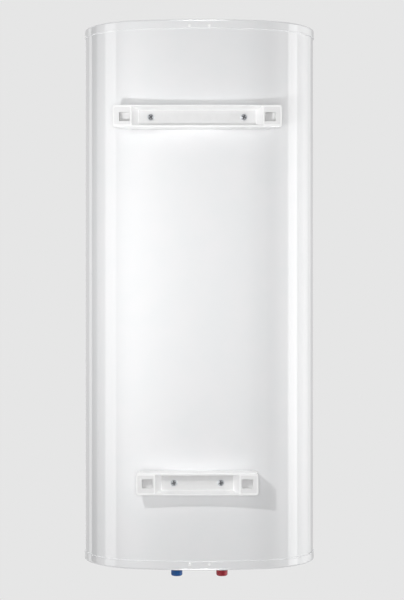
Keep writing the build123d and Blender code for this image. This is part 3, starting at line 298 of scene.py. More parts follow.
# Painted shade on the brackets' flat faces: thin sheets of the same coat, a shade greyer on the pads and
# greyer still in the troughs, where the shade falls against the brighter walls. They are smoother than the
# powder.
PAD_SHADE_COAT = Finish("white_coil_coat", "white_powder_coat", "#EBEBEB", "#E8E8E8", (0.3, 0.36),
                  18 * MM, 2.2 * MM, 0.006 * MM, sockets=(("IOR", 1.5),))
TROUGH_SHADE_COAT = Finish("pale_grey_coil_coat", "white_powder_coat", "#DDDDDD", "#DADADA", (0.3, 0.36),
                     18 * MM, 2.2 * MM, 0.006 * MM, sockets=(("IOR", 1.5),))
# Bright zinc on cold-headed steel: mid grey, with fine crystals that glint one by one.
BOLT_ZINC = SpangledZinc("zinc_plated_steel", "zinc_plated_steel", "#9A9DA1", "#B4B6B9", (0.26, 0.4),
                         0.7 * MM, 0.35 * MM, 0.006 * MM, 1.0)
# Painted shade in the bolts' cross recesses: a dark, dull solid set at their bottoms, where the shade falls.
RECESS_SHADE = Finish("punched_recess_steel", "zinc_plated_steel", "#565759", "#4C4D4F", (0.5, 0.65),
                      1.2 * MM, 0.35 * MM, 0.01 * MM)
# Galvanised sheet: pale and bright, with spangles about 6 mm wide.
SHEET_ZINC = SpangledZinc("galvanised_sheet", "zinc_plated_steel", "#D2D4D6", "#E0E1E2", (0.3, 0.45),
                          6 * MM, 0.8 * MM, 0.004 * MM, 1.0)
# Zinc plating on turned pipe: a thinner coat than on sheet, so darker, with spangles half as wide.
PIPE_ZINC = SpangledZinc("zinc_plated_pipe", "zinc_plated_steel", "#84878B", "#9B9EA2", (0.32, 0.45),
                         3 * MM, 0.8 * MM, 0.006 * MM, 1.0)
# Painted screw head: whiter than the cap round it, with a satin skin.
SCREW_PAINT = Finish("painted_screw_head", "white_painted_screw", "#FDFDFD", "#FAFAFA", (0.12, 0.18),
                     2 * MM, 0.5 * MM, 0.004 * MM)
# Vitreous enamel: glass fused on steel, deep blue with fine pale specks.
TANK_GLAZE = SpeckledGlaze("vitreous_enamel", "vitreous_enamel_steel", "#22405A", "#56758C", (0.08, 0.16),
                           1.6 * MM, 3 * MM, 0.01 * MM)
# Drawn stainless tube: grey, with fine lines along its length.
TUBE_STAINLESS = Finish("drawn_stainless_steel", "stainless_steel", "#85878A", "#77797B", (0.28, 0.4),
                        0.9 * MM, 0.4 * MM, 0.004 * MM, 1.0, stretch=(1.0, 1.0, 0.05))
# Poured foam: a matt, straw-coloured crust pitted with cells, drawn at 1.2 mm so that they show.
FOAM = CellularFoam("rigid_polyurethane_foam", "pu_foam", "#E6D9A8", "#DCCB92", (0.85, 0.95),
                    20 * MM, 1.2 * MM, 0.4 * MM)
# Moulded polyethylene: waxy, with a weak gloss, and it lets a little light in.
POLYETHYLENE_SOCKETS = (("Subsurface Weight", 0.12), ("Subsurface Radius", (1.0, 1.0, 1.0)),
                        ("Subsurface Scale", 1.2 * MM), ("IOR", 1.51), ("Specular IOR Level", 0.25))
BLUE_POLYETHYLENE = Finish("blue_polyethylene", "blue_polyethylene", "#17487F", "#1B4F8C", (0.42, 0.52),
                           5 * MM, 0.6 * MM, 0.01 * MM, sockets=POLYETHYLENE_SOCKETS)
RED_POLYETHYLENE = Finish("red_polyethylene", "red_polyethylene", "#8E2630", "#9A2C36", (0.42, 0.52),
                          5 * MM, 0.6 * MM, 0.01 * MM, sockets=POLYETHYLENE_SOCKETS)
# Drawn copper tube: warm and softly bright, with fine drawing lines.
ELEMENT_COPPER = Finish("drawn_copper", "copper_element", "#B87444", "#A5653A", (0.24, 0.4),
                        1.5 * MM, 0.5 * MM, 0.005 * MM, 1.0, stretch=(1.0, 1.0, 0.08))
# Cast magnesium: dull grey, with the grainy skin of its mould.
ANODE_MAGNESIUM = Finish("cast_magnesium", "magnesium", "#A9ABAD", "#919396", (0.45, 0.65),
                         4 * MM, 1.2 * MM, 0.05 * MM, 1.0)
# Moulded rubber: near black and matt, with a bloom in soft patches.
GASKET_RUBBER = Finish("moulded_epdm_rubber", "epdm_rubber", "#1C1C1C", "#242424", (0.6, 0.75),
                       6 * MM, 0.8 * MM, 0.03 * MM)
# ABS from spark-eroded moulds: a satin skin on the panel, finer and glossier on the knob, duller on the
# buttons. The grain is drawn at 0.6 to 0.7 mm so that it shows.
PANEL_ABS = Finish("satin_moulded_abs", "panel_abs", "#E6E7E8", "#E2E3E4", (0.34, 0.42),
                   20 * MM, 0.7 * MM, 0.015 * MM)
KNOB_ABS = Finish("knob_abs", "knob_abs", "#E4E5E6", "#DFE0E1", (0.26, 0.34),
                  12 * MM, 0.7 * MM, 0.012 * MM)
BUTTON_ABS = Finish("button_abs", "button_abs", "#C4C7CA", "#BEC1C4", (0.36, 0.46),
                    8 * MM, 0.6 * MM, 0.012 * MM)
# Smoked acrylic: a dark tint, polished on both sides.
SMOKED_ACRYLIC = Finish("smoked_acrylic", "smoked_lens", "#3B4044", "#373C40", (0.02, 0.04),
                        30 * MM, 8 * MM, 0.001 * MM,
                        sockets=(("Transmission Weight", 0.92), ("IOR", 1.49)))
# Frosted polycarbonate: milky, half clear and faintly green while it is unlit.
LENS_POLYCARBONATE = Finish("frosted_polycarbonate", "lens_pc", "#CFE3CB", "#C5DCC1", (0.18, 0.28),
                            2 * MM, 0.5 * MM, 0.006 * MM,
                            sockets=(("Transmission Weight", 0.5), ("IOR", 1.58)))
# Solder-masked laminate: glossy green, with the copper tracks paler and slightly raised.
BOARD_LAMINATE = TrackedLaminate("solder_masked_laminate", "circuit_board", "#17492F", "#2C7A50",
                                 (0.3, 0.22), 6 * MM, 1.5 * MM, 0.02 * MM)
# Black moulded housings: dull, with a grainy skin.
BLACK_PHENOLIC = Finish("black_moulded_component", "black_component", "#202123", "#2A2B2E", (0.45, 0.6),
                        5 * MM, 0.6 * MM, 0.02 * MM)
# Moulded reset button: signal red with a satin skin.
RESET_ABS = Finish("red_moulded_button", "red_reset", "#B02A2A", "#A32424", (0.25, 0.35),
                   3 * MM, 0.5 * MM, 0.01 * MM)
# Moulded polyamide: dull and slightly mottled, ivory for the terminals and grey for the gland.
TERMINAL_POLYAMIDE = Finish("ivory_polyamide", "terminal_ivory", "#E4DFD0", "#DAD4C2", (0.45, 0.55),
                            6 * MM, 0.7 * MM, 0.02 * MM)
GLAND_POLYAMIDE = Finish("grey_polyamide", "grey_polyamide", "#6D7073", "#64676A", (0.38, 0.48),
                         6 * MM, 0.7 * MM, 0.02 * MM)
# Silicone insulation on wire: brown, rubbery and matt.
WIRE_SILICONE = Finish("silicone_wire_insulation", "wire_insulation", "#5A3A28", "#4E3122", (0.5, 0.62),
                       8 * MM, 0.6 * MM, 0.01 * MM)
# Screen-printed ink: flat grey marks without gloss.
PRINT_INK = Finish("grey_panel_ink", "black_component", "#54585C", "#4D5155", (0.4, 0.5),
                   3 * MM, 0.4 * MM, 0.002 * MM)
# Cast segment resin: pale grey while it is unlit.
SEGMENT_RESIN = Finish("unlit_segment_resin", "lens_pc", "#C9CDC6", "#BFC3BC", (0.35, 0.45),
                       2 * MM, 0.4 * MM, 0.002 * MM)


@cache
def material_of(finish: Finish) -> Material:
    """A finish's material, built the first time it is asked for."""
    return finish.material()


# ---------------------------------------------------------------- mesh tools
def skin(mesh: BMesh, rings: Sequence[Ring], closed: bool = False) -> list[list[BMVert]]:
    """Skins a row of rings that have the same number of points with quads.

    Args:
        mesh: The mesh to add to.
        rings: The rings, each a closed loop of points.
        closed: Whether the last ring is joined to the first.

    Returns:
        The rings' vertices.
    """
    rows = [[mesh.verts.new(point) for point in ring] for ring in rings]
    pairs = list(zip(rows, rows[1:]))
    if closed:
        pairs.append((rows[-1], rows[0]))
    for low, high in pairs:
        for i in range(len(low)):
            j = (i + 1) % len(low)
            mesh.faces.new((low[i], low[j], high[j], high[i]))
    return rows


def lathe(mesh: BMesh, profile: Profile, placing: Matrix, steps: int = 48,
          flute: Callable[[float, float], float] | None = None, closed: bool = False) -> None:
    """Turns a profile about the local Z axis.

    Args:
        mesh: The mesh to add to.
        profile: Radius and height of each point. A radius of 0 closes the end in one point.
        placing: Where the local axes lie.
        steps: Points round the axis.
        flute: Gives the radius to take off at a turn and a height.
        closed: Whether the last point is joined to the first.
    """
    rings = []
    for radius, height in profile:
        ring = []
        for i in range(steps):
            turn = 2 * math.pi * i / steps
            reach = radius - (flute(turn, height) if flute and radius else 0.0)
            ring.append(placing @ Vector((reach * math.cos(turn), reach * math.sin(turn), height)))
        rings.append(ring)
    skin(mesh, rings, closed)


def fillet_profile(centre: tuple[float, float], radius: float, start: float, end: float,
                   steps: int = 6) -> Profile:
    """Points of a round corner in a profile.

    Args:
        centre: The corner's centre.
        radius: Its radius.
        start: Its first angle, in degrees.
        end: Its last angle, in degrees.
        steps: Spans along it.

    Returns:
        Its points, both ends included.
    """
    turns = [math.radians(start + (end - start) * i / steps) for i in range(steps + 1)]
    return [(centre[0] + radius * math.cos(t), centre[1] + radius * math.sin(t)) for t in turns]


def prism(mesh: BMesh, rings: Sequence[Ring]) -> None:
    """Skins a row of rings and closes both ends.

    Args:
        mesh: The mesh to add to.
        rings: Rings of points, all of the same number.
    """
    rows = skin(mesh, rings)
    mesh.faces.new(rows[0])
    mesh.faces.new(rows[-1])


def rod(mesh: BMesh, start: Vector, axis: Vector, radius: float, length: float) -> None:
    """Adds a plain cylinder, for cutting holes."""
    lathe(mesh, [(0, 0), (radius, 0), (radius, length), (0, length)], turned_to(axis, start), steps=40)


def block(mesh: BMesh, low: Vector, high: Vector) -> None:
    """Adds a plain box."""
    ring = [(low.x, low.y), (high.x, low.y), (high.x, high.y), (low.x, high.y)]
    prism(mesh, [[Vector((x, y, z)) for x, y in ring] for z in (low.z, high.z)])


def plate(mesh: BMesh, low: Vector, high: Vector, corner: float) -> None:
    """Adds a plate that lies along the wall and has round corners.

    Args:
        mesh: The mesh to add to.
        low: Its lowest corner.
        high: Its highest corner.
        corner: Radius of its corners.
    """
    outline = []
    for start, x, z in ((0, high.x - corner, high.z - corner), (90, low.x + corner, high.z - corner),
                        (180, low.x + corner, low.z + corner), (270, high.x - corner, low.z + corner)):
        outline += fillet_profile((x, z), corner, start, start + 90, 5)
    prism(mesh, [[Vector((x, y, z)) for x, z in outline] for y in (low.y, high.y)])


def clean(mesh: BMesh) -> None:
    """Merges doubles, drops faces without area and turns every face outwards.

    Args:
        mesh: The mesh to clean.
    """
    bmesh.ops.remove_doubles(mesh, verts=mesh.verts, dist=MERGE)
    bmesh.ops.dissolve_degenerate(mesh, edges=mesh.edges, dist=MERGE)
    bmesh.ops.recalc_face_normals(mesh, faces=mesh.faces)


def linked(name: str, data: bpy.types.ID) -> Object:
    """Makes an object of some data and links it to the scene.

    Args:
        name: The object's name.
        data: Its mesh, lamp or camera.

    Returns:
        The object.
    """
    made = bpy.data.objects.new(name, data)
    bpy.context.scene.collection.objects.link(made)
    return made


def object_from(name: str, mesh: BMesh) -> Object:
    """Makes an object of a cleaned mesh and frees the mesh.

    Args:
        name: The object's name.
        mesh: The mesh.

    Returns:
        The object, linked to the scene.
    """
    clean(mesh)
    data = bpy.data.meshes.new(name)
    mesh.to_mesh(data)
    mesh.free()
    return linked(name, data)


def lathed(name: str, profile: Profile, placing: Matrix, **options: Any) -> Object:
    """Makes an object of one turned profile.

    Args:
        name: The object's name.
        profile: Radius and height of each corner.
        placing: Where its axis goes.
        **options: The other options of lathe.

    Returns:
        The object, not yet dressed.
    """
    mesh = bmesh.new()
    lathe(mesh, profile, placing, **options)
    return object_from(name, mesh)


def settle(piece: Object) -> Object:
    """Turns a piece and its live modifiers into a plain mesh.

    Args:
        piece: The piece.

    Returns:
        The same piece.
    """
    bpy.context.view_layer.update()
    evaluated = piece.evaluated_get(bpy.context.evaluated_depsgraph_get())
    data = bpy.data.meshes.new_from_object(evaluated)
    piece.modifiers.clear()
    piece.data = data
    return piece


def discard(*helpers: Object) -> None:
    """Removes helper objects."""
    for helper in helpers:
        bpy.data.objects.remove(helper)


def drill(piece: Object, cutter: Object) -> None:
    """Cuts a helper's shape out of a piece, and removes the helper.

    Args:
        piece: The piece.
        cutter: The helper.
    """
    cut = piece.modifiers.new("drill", "BOOLEAN")
    cut.operation = "DIFFERENCE"
    cut.solver = "EXACT"
    cut.object = cutter
    settle(piece)
    discard(cutter)


def soften(piece: Object, radius: float) -> None:
    """Rounds a piece's sharp edges.

    Args:
        piece: The piece.
        radius: How far from the edge the rounding begins.
    """
    bevel = piece.modifiers.new("soften", "BEVEL")
    bevel.width = radius
    bevel.segments = 2
    bevel.limit_method = "ANGLE"
    bevel.angle_limit = CREASE
    settle(piece)


def dress(piece: Object, finish: Finish, body: Body, stands_for: Sequence[str] = ()) -> None:
    """Gives a finished mesh its shading, material and body.

    Args:
        piece: The object, in place.
        finish: Its finish.
        body: The body it rides on.
        stands_for: The CAD nodes that it replaces.
    """
    piece.data.shade_smooth()
    piece.data.set_sharp_from_angle(angle=CREASE)
    piece.data.materials.clear()
    piece.data.materials.append(material_of(finish))
    if stands_for:
        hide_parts(*stands_for)
    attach(piece, body.value)
    LOG.info("%s: %d faces, %s", piece.name, len(piece.data.polygons), finish.name)


def dress_nodes(finish: Finish, *names: str) -> None:
    """Gives CAD nodes that keep their own mesh a finish.

    Args:
        finish: The finish.
        *names: The CAD nodes.
    """
    for name in names:
        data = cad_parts[name].data
        data.materials.clear()
        data.materials.append(material_of(finish))
        LOG.info("%s: own mesh, %s", name, finish.name)


def copy_of(node: str, name: str) -> Object:
    """A copy of a CAD node with its loose triangles merged into whole flat faces.

    Args:
        node: The CAD node.
        name: The copy's name.

    Returns:
        The copy, not yet dressed.
    """
    mesh = bmesh.new()
    mesh.from_mesh(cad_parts[node].data)
    bmesh.ops.remove_doubles(mesh, verts=mesh.verts, dist=CAD_MERGE)
    bmesh.ops.dissolve_limit(mesh, angle_limit=CAD_FLAT, verts=mesh.verts, edges=mesh.edges)
    return object_from(name, mesh)


def turned_to(axis: Vector, origin: Vector) -> Matrix:
    """Placing whose local Z runs along an axis from an origin."""
    turn = UP.rotation_difference(axis)
    return Matrix.Translation(origin) @ turn.to_matrix().to_4x4()


# ---------------------------------------------------------------- places
FACING_WALL = Euler((-math.pi / 2, 0, 0))       # local Z along +Y
FACING_ROOM = Euler((math.pi / 2, 0, 0))        # local Z along -Y
TO_WALL = Vector((0, 1, 0))
UP = Vector((0, 0, 1))
BOLT_REACH = {"upper_bracket": 99 * MM, "lower_bracket": 50 * MM}       # from the bracket's middle


def centre_of(node: str) -> Vector:
    """The middle of a CAD node's box."""
    low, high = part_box(node)
    return (low + high) / 2


def upright_at(node: str) -> Matrix:
    """Placing on a CAD node's own upright axis, at height 0."""
    middle = centre_of(node)
    return Matrix.Translation((middle.x, middle.y, 0))


def bolt_places() -> list[Vector]:
    """Seats of the bracket bolts: two in each bracket, level with its middle.

    Returns:
        Where the heads sit on the washers.
    """
    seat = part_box("bracket_washers")[1].y
    places = []
    for node, reach in BOLT_REACH.items():
        middle = centre_of(node)
        places += [Vector((middle.x + sign * reach, seat, middle.z)) for sign in (-1, 1)]
    return places


# ---------------------------------------------------------------- repeats
def new_group(name: str, inputs: dict[str, str], output: str) -> GeometryTree:
    """Makes a Geometry Nodes tree that has named inputs and one output but no nodes.

    Args:
        name: The tree's name.
        inputs: The kind of each named input.
        output: The name of the geometry that it gives.

    Returns:
        The tree.
    """
    tree = bpy.data.node_groups.new(name, "GeometryNodeTree")
    for socket, kind in inputs.items():
        tree.interface.new_socket(socket, in_out="INPUT", socket_type=f"NodeSocket{kind}")
    tree.interface.new_socket(output, in_out="OUTPUT", socket_type="NodeSocketGeometry")
    return tree


def repeat_tree() -> GeometryTree:
    """Geometry Nodes that set one item on every point of a mesh.

    Each item faces the same way and is turned about its own axis by the point's "turn" attribute
    and by a random angle up to Slack.

    Returns:
        The tree.
    """
    inputs = {"Points": "Geometry", "Item": "Object", "Facing": "Vector", "Slack": "Float", "Seed": "Int",
              "Finish": "Material"}
    tree = new_group("set_on_points", inputs, "Items")
    given = add_node(tree, "NodeGroupInput").outputs
    item = add_node(tree, "GeometryNodeObjectInfo", {"Object": given["Item"]}).outputs["Geometry"]
    slack = {3: given["Slack"], "Seed": given["Seed"]}
    slack = add_node(tree, "FunctionNodeRandomValue", slack, data_type="FLOAT").outputs[1]
    own = add_node(tree, "GeometryNodeInputNamedAttribute", {"Name": "turn"}, data_type="FLOAT")
    turn = add_node(tree, "ShaderNodeMath", {0: slack, 1: own.outputs["Attribute"]}, operation="ADD")
    about = add_node(tree, "ShaderNodeCombineXYZ", {"Z": turn.outputs["Value"]}).outputs["Vector"]
    about = add_node(tree, "FunctionNodeEulerToRotation", {"Euler": about}).outputs["Rotation"]
    facing = add_node(tree, "FunctionNodeEulerToRotation", {"Euler": given["Facing"]}).outputs["Rotation"]
    turned = {"Rotation": facing, "Rotate By": about}
    turned = add_node(tree, "FunctionNodeRotateRotation", turned, rotation_space="LOCAL").outputs["Rotation"]
    placed = {"Points": given["Points"], "Instance": item, "Rotation": turned}
    placed = add_node(tree, "GeometryNodeInstanceOnPoints", placed).outputs["Instances"]
    whole = add_node(tree, "GeometryNodeRealizeInstances", {"Geometry": placed}).outputs["Geometry"]
    coloured = {"Geometry": whole, "Material": given["Finish"]}
    coloured = add_node(tree, "GeometryNodeSetMaterial", coloured).outputs["Geometry"]
    add_node(tree, "NodeGroupOutput", {"Items": coloured})
    return tree


def thread_tree() -> GeometryTree:
    """Geometry Nodes that wind a thread's ridge round a turned body and join the two.

    Returns:
        The tree.
    """
    inputs = {"Blank": "Geometry", "Root": "Vector", "Pitch": "Float", "Turns": "Float", "Radius": "Float",
              "Depth": "Float", "Finish": "Material"}
    tree = new_group("wind_thread", inputs, "Threaded")
    given = add_node(tree, "NodeGroupInput").outputs
    rise = add_node(tree, "ShaderNodeMath", {0: given["Pitch"], 1: given["Turns"]}, operation="MULTIPLY")
    helix = {"Resolution": 40, "Rotations": given["Turns"], "Start Radius": given["Radius"],
             "End Radius": given["Radius"], "Height": rise.outputs["Value"]}
    helix = add_node(tree, "GeometryNodeCurveSpiral", helix).outputs["Curve"]
    helix = add_node(tree, "GeometryNodeSetCurveNormal", {"Curve": helix}, mode="Z_UP").outputs["Curve"]
    depth = add_node(tree, "ShaderNodeMath", {0: given["Depth"], 1: 2.0}, operation="MULTIPLY")
    # a hair under half the pitch, so that the turns don't touch at the root
    half = add_node(tree, "ShaderNodeMath", {0: given["Pitch"], 1: 0.49}, operation="MULTIPLY").outputs[0]
    ridge = {"Width": depth.outputs["Value"], "Bottom Height": half, "Top Height": half}
    ridge = add_node(tree, "GeometryNodeCurvePrimitiveQuadrilateral", ridge, mode="KITE").outputs["Curve"]
    wound = {"Curve": helix, "Profile Curve": ridge, "Fill Caps": True}
    wound = add_node(tree, "GeometryNodeCurveToMesh", wound).outputs["Mesh"]
    moved = {"Geometry": wound, "Translation": given["Root"]}
    moved = add_node(tree, "GeometryNodeTransform", moved).outputs["Geometry"]
    joined = add_node(tree, "GeometryNodeJoinGeometry")
    tree.links.new(given["Blank"], joined.inputs["Geometry"])
    tree.links.new(moved, joined.inputs["Geometry"])
    whole = add_node(tree, "GeometryNodeRealizeInstances", {"Geometry": joined.outputs["Geometry"]})
    coloured = {"Geometry": whole.outputs["Geometry"], "Material": given["Finish"]}
    coloured = add_node(tree, "GeometryNodeSetMaterial", coloured).outputs["Geometry"]
    add_node(tree, "NodeGroupOutput", {"Threaded": coloured})
    return tree


def run_tree(piece: Object, tree: GeometryTree, values: dict[str, Any]) -> None:
    """Runs a Geometry Nodes tree on a piece and keeps its result as a plain mesh.

    Args:
        piece: The object whose mesh is the tree's input.
        tree: The tree.
        values: The tree's named inputs.
    """
    modifier = piece.modifiers.new(tree.name, "NODES")
    modifier.node_group = tree
    for socket in tree.interface.items_tree:
        if socket.in_out == "INPUT" and socket.name in values:
            modifier[socket.identifier] = values[socket.name]
    settle(piece)


def points_object(name: str, places: Sequence[Vector], turns: Sequence[float]) -> Object:
    """An object of loose points, each with its own turn.

    Args:
        name: Its name.
        places: The points.
        turns: Each one's turn.

    Returns:
        The object.
    """
    data = bpy.data.meshes.new(name)
    data.from_pydata([tuple(place) for place in places], [], [])
    data.attributes.new("turn", "FLOAT", "POINT").data.foreach_set("value", list(turns))
    return linked(name, data)


def repeated(name: str, item: Object, places: Sequence[Vector], facing: Euler, finish: Finish,
             turns: Sequence[float] | None = None, slack: float = 0.0) -> Object:
    """Sets one item on several places and gives them back as one mesh.

    Args:
        name: The new piece's name.
        item: The item, which is removed afterwards.
        places: Where each one goes.
        facing: The way they all face.
        finish: Their finish.
        turns: Each one's own turn about its axis.
        slack: The most that each is turned at random.

    Returns:
        The piece.
    """
    piece = points_object(name, places, turns or [0.0] * len(places))
    values = {"Item": item, "Facing": tuple(facing), "Slack": slack, "Seed": 7, "Finish": material_of(finish)}
    run_tree(piece, repeat_tree(), values)
    discard(item)
    return piece


# ---------------------------------------------------------------- the body's section
@dataclass(frozen=True)
class Oval:
    """The body's oval section: eight tangent arcs about six centres.

    Attributes:
        width: Across the body.
        depth: From front to rear.
        broad: Radius of the nearly flat front and rear.
        corner: Radius of the four corners.
        side: Radius of the two sides.
        middle_y: Where its centre lies.
        broad_steps: Spans along the front and along the rear.
        tight_step: Degrees in a span of the other arcs.
    """

    width: float = 510 * MM
    depth: float = 260 * MM
    broad: float = 758 * MM
    corner: float = 143 * MM
    side: float = 58 * MM
    middle_y: float = -180 * MM
    broad_steps: int = 34
    tight_step: float = 1.6

    def arcs(self) -> list[tuple[Vector, float, float, float]]:
        """The section's arcs, counter-clockwise from the right side.

        Returns:
            Centre, radius, first and last angle of each arc.
        """
        side_x = self.width / 2 - self.side
        broad_y = self.broad - self.depth / 2
        to_corner, to_side = self.broad - self.corner, math.hypot(side_x, broad_y)
        between = self.corner - self.side
        opening = math.acos((to_corner**2 + to_side**2 - between**2) / (2 * to_corner * to_side))
        broad_half = math.atan2(side_x, broad_y) - opening
        corner_x = to_corner * math.sin(broad_half)
        corner_y = to_corner * math.cos(broad_half) - broad_y
        side_half = math.atan2(-corner_y, side_x - corner_x)
        right = math.pi / 2
        arcs = []
        for turn, sign in ((0.0, 1), (math.pi, -1)):
            arcs += [
                (Vector((sign * side_x, 0)), self.side, turn - side_half, turn + side_half),
                (Vector((sign * corner_x, sign * corner_y)), self.corner, turn + side_half,
                 turn + right - broad_half),
                (Vector((0, -sign * broad_y)), self.broad, turn + right - broad_half,
                 turn + right + broad_half),
                (Vector((-sign * corner_x, sign * corner_y)), self.corner, turn + right + broad_half,
                 turn + math.pi - side_half),
            ]
        return arcs

    def ring(self, grow: float, height: float) -> Ring:
        """The section as a closed loop of points.

        Args:
            grow: How far outside the section the loop runs.
            height: Its height.

        Returns:
            Its points, the same number whatever the growth.
        """
        points = []
        for centre, radius, first, last in self.arcs():
            tight = radius < self.broad
            steps = max(4, round(math.degrees(last - first) / self.tight_step)) if tight else self.broad_steps
            for i in range(steps):
                turn = first + (last - first) * i / steps
                reach = radius + grow
                points.append(Vector((centre.x + reach * math.cos(turn),
                                      self.middle_y + centre.y + reach * math.sin(turn), height)))
        return points

    def rear_y(self, x: float) -> float:
        """Where the rear surface lies at a distance x from the centre line."""
        return self.middle_y + self.depth / 2 - self.broad + math.sqrt(self.broad**2 - x**2)


# ---------------------------------------------------------------- fasteners
@dataclass(frozen=True)
class CrossScrew:
    """A pan-head screw with a cross recess, made along +Z from its seat.

    Attributes:
        head_radius: Radius of the head.
        head_height: Height of the head.
        shank_radius: Radius of the shank.
        length: Length below the head.
        recess: The recess from the top down: height, reach of the arms and half their width, as shares of
            the head's height and radius.
        recess_floor: The dark solid of painted shade at the recess's bottom, in the same way.
        tip: The shank's chamfered end: its radius and its height, as shares of the shank's radius.
        seat: The head's lower edge: where it starts and how high it is, as shares of the head's size.
        dome: Where the dome's points lie, as shares of the head's radius.
    """

    head_radius: float
    head_height: float
    shank_radius: float
    length: float
    recess: Levels = ((1.3, 0.82, 0.23), (0.9, 0.78, 0.22), (0.3, 0.62, 0.17), (0.1, 0.2, 0.1))
    recess_floor: Levels = ((0.7, 0.76, 0.21), (0.26, 0.58, 0.15), (0.2, 0.5, 0.12))
    tip: tuple[float, float] = (0.8, 0.3)
    seat: tuple[float, float] = (0.96, 0.06)
    dome: tuple[float, ...] = (0.97, 0.9, 0.8, 0.65, 0.5, 0.35, 0.2)

    def build(self, name: str) -> Object:
        """Builds the screw at the origin: a chamfered shank and a head whose upper half is domed.

        Args:
            name: Its name.

        Returns:
            The screw, not yet dressed.
        """
        radius, height, shank = self.head_radius, self.head_height, self.shank_radius
        crown = height / 2
        bend = (radius**2 + crown**2) / (2 * crown)
        rise = [(radius * share, height - bend + math.sqrt(bend**2 - (radius * share)**2))
                for share in self.dome]
        profile = [(0, -self.length), (shank * self.tip[0], -self.length),
                   (shank, shank * self.tip[1] - self.length), (shank, 0), (radius * self.seat[0], 0),
                   (radius, height * self.seat[1]), (radius, crown), *rise, (0, height)]
        screw = lathed(name, profile, Matrix.Identity(4), steps=40)
        drill(screw, self.cross(name + "_recess", self.recess))
        return screw

    def build_recess_shade(self, name: str) -> Object:
        """A dark solid of painted shade at the bottom of the recess, at the origin."""
        return self.cross(name, self.recess_floor)

    def cross(self, name: str, levels: Levels) -> Object:
        """A cross-shaped solid that tapers to its bottom.

        Args:
            name: Its name.
            levels: Its height, the reach of its arms and half their width, as shares of the head's size.

        Returns:
            The solid, not yet dressed.
        """
        rings = []
        for height, arm, width in levels:
            ring = []
            for quarter in range(4):
                turn = Matrix.Rotation(-quarter * math.pi / 2, 3, "Z")
                ring += [turn @ Vector((x, y, 0)) * self.head_radius
                         for x, y in ((width, width), (arm, width), (arm, -width))]
            rings.append([point + UP * (height * self.head_height) for point in ring])
        mesh = bmesh.new()
        prism(mesh, rings)
        return object_from(name, mesh)


def build_washer(name: str, inner: float, outer: float, sheet: float) -> Object:
    """A flat washer with softened rims, made along +Z from its seat.

    Args:
        name: Its name.
        inner: Radius of its hole.
        outer: Radius of its rim.
        sheet: Its thickness.

    Returns:
        The washer, not yet dressed.
    """
    soft = sheet / 4
    profile = [(inner, 0), (outer - soft, 0), (outer, soft), (outer, sheet - soft), (outer - soft, sheet),
               (inner + soft, sheet), (inner, sheet - soft)]
    return lathed(name, profile, Matrix.Identity(4), closed=True)


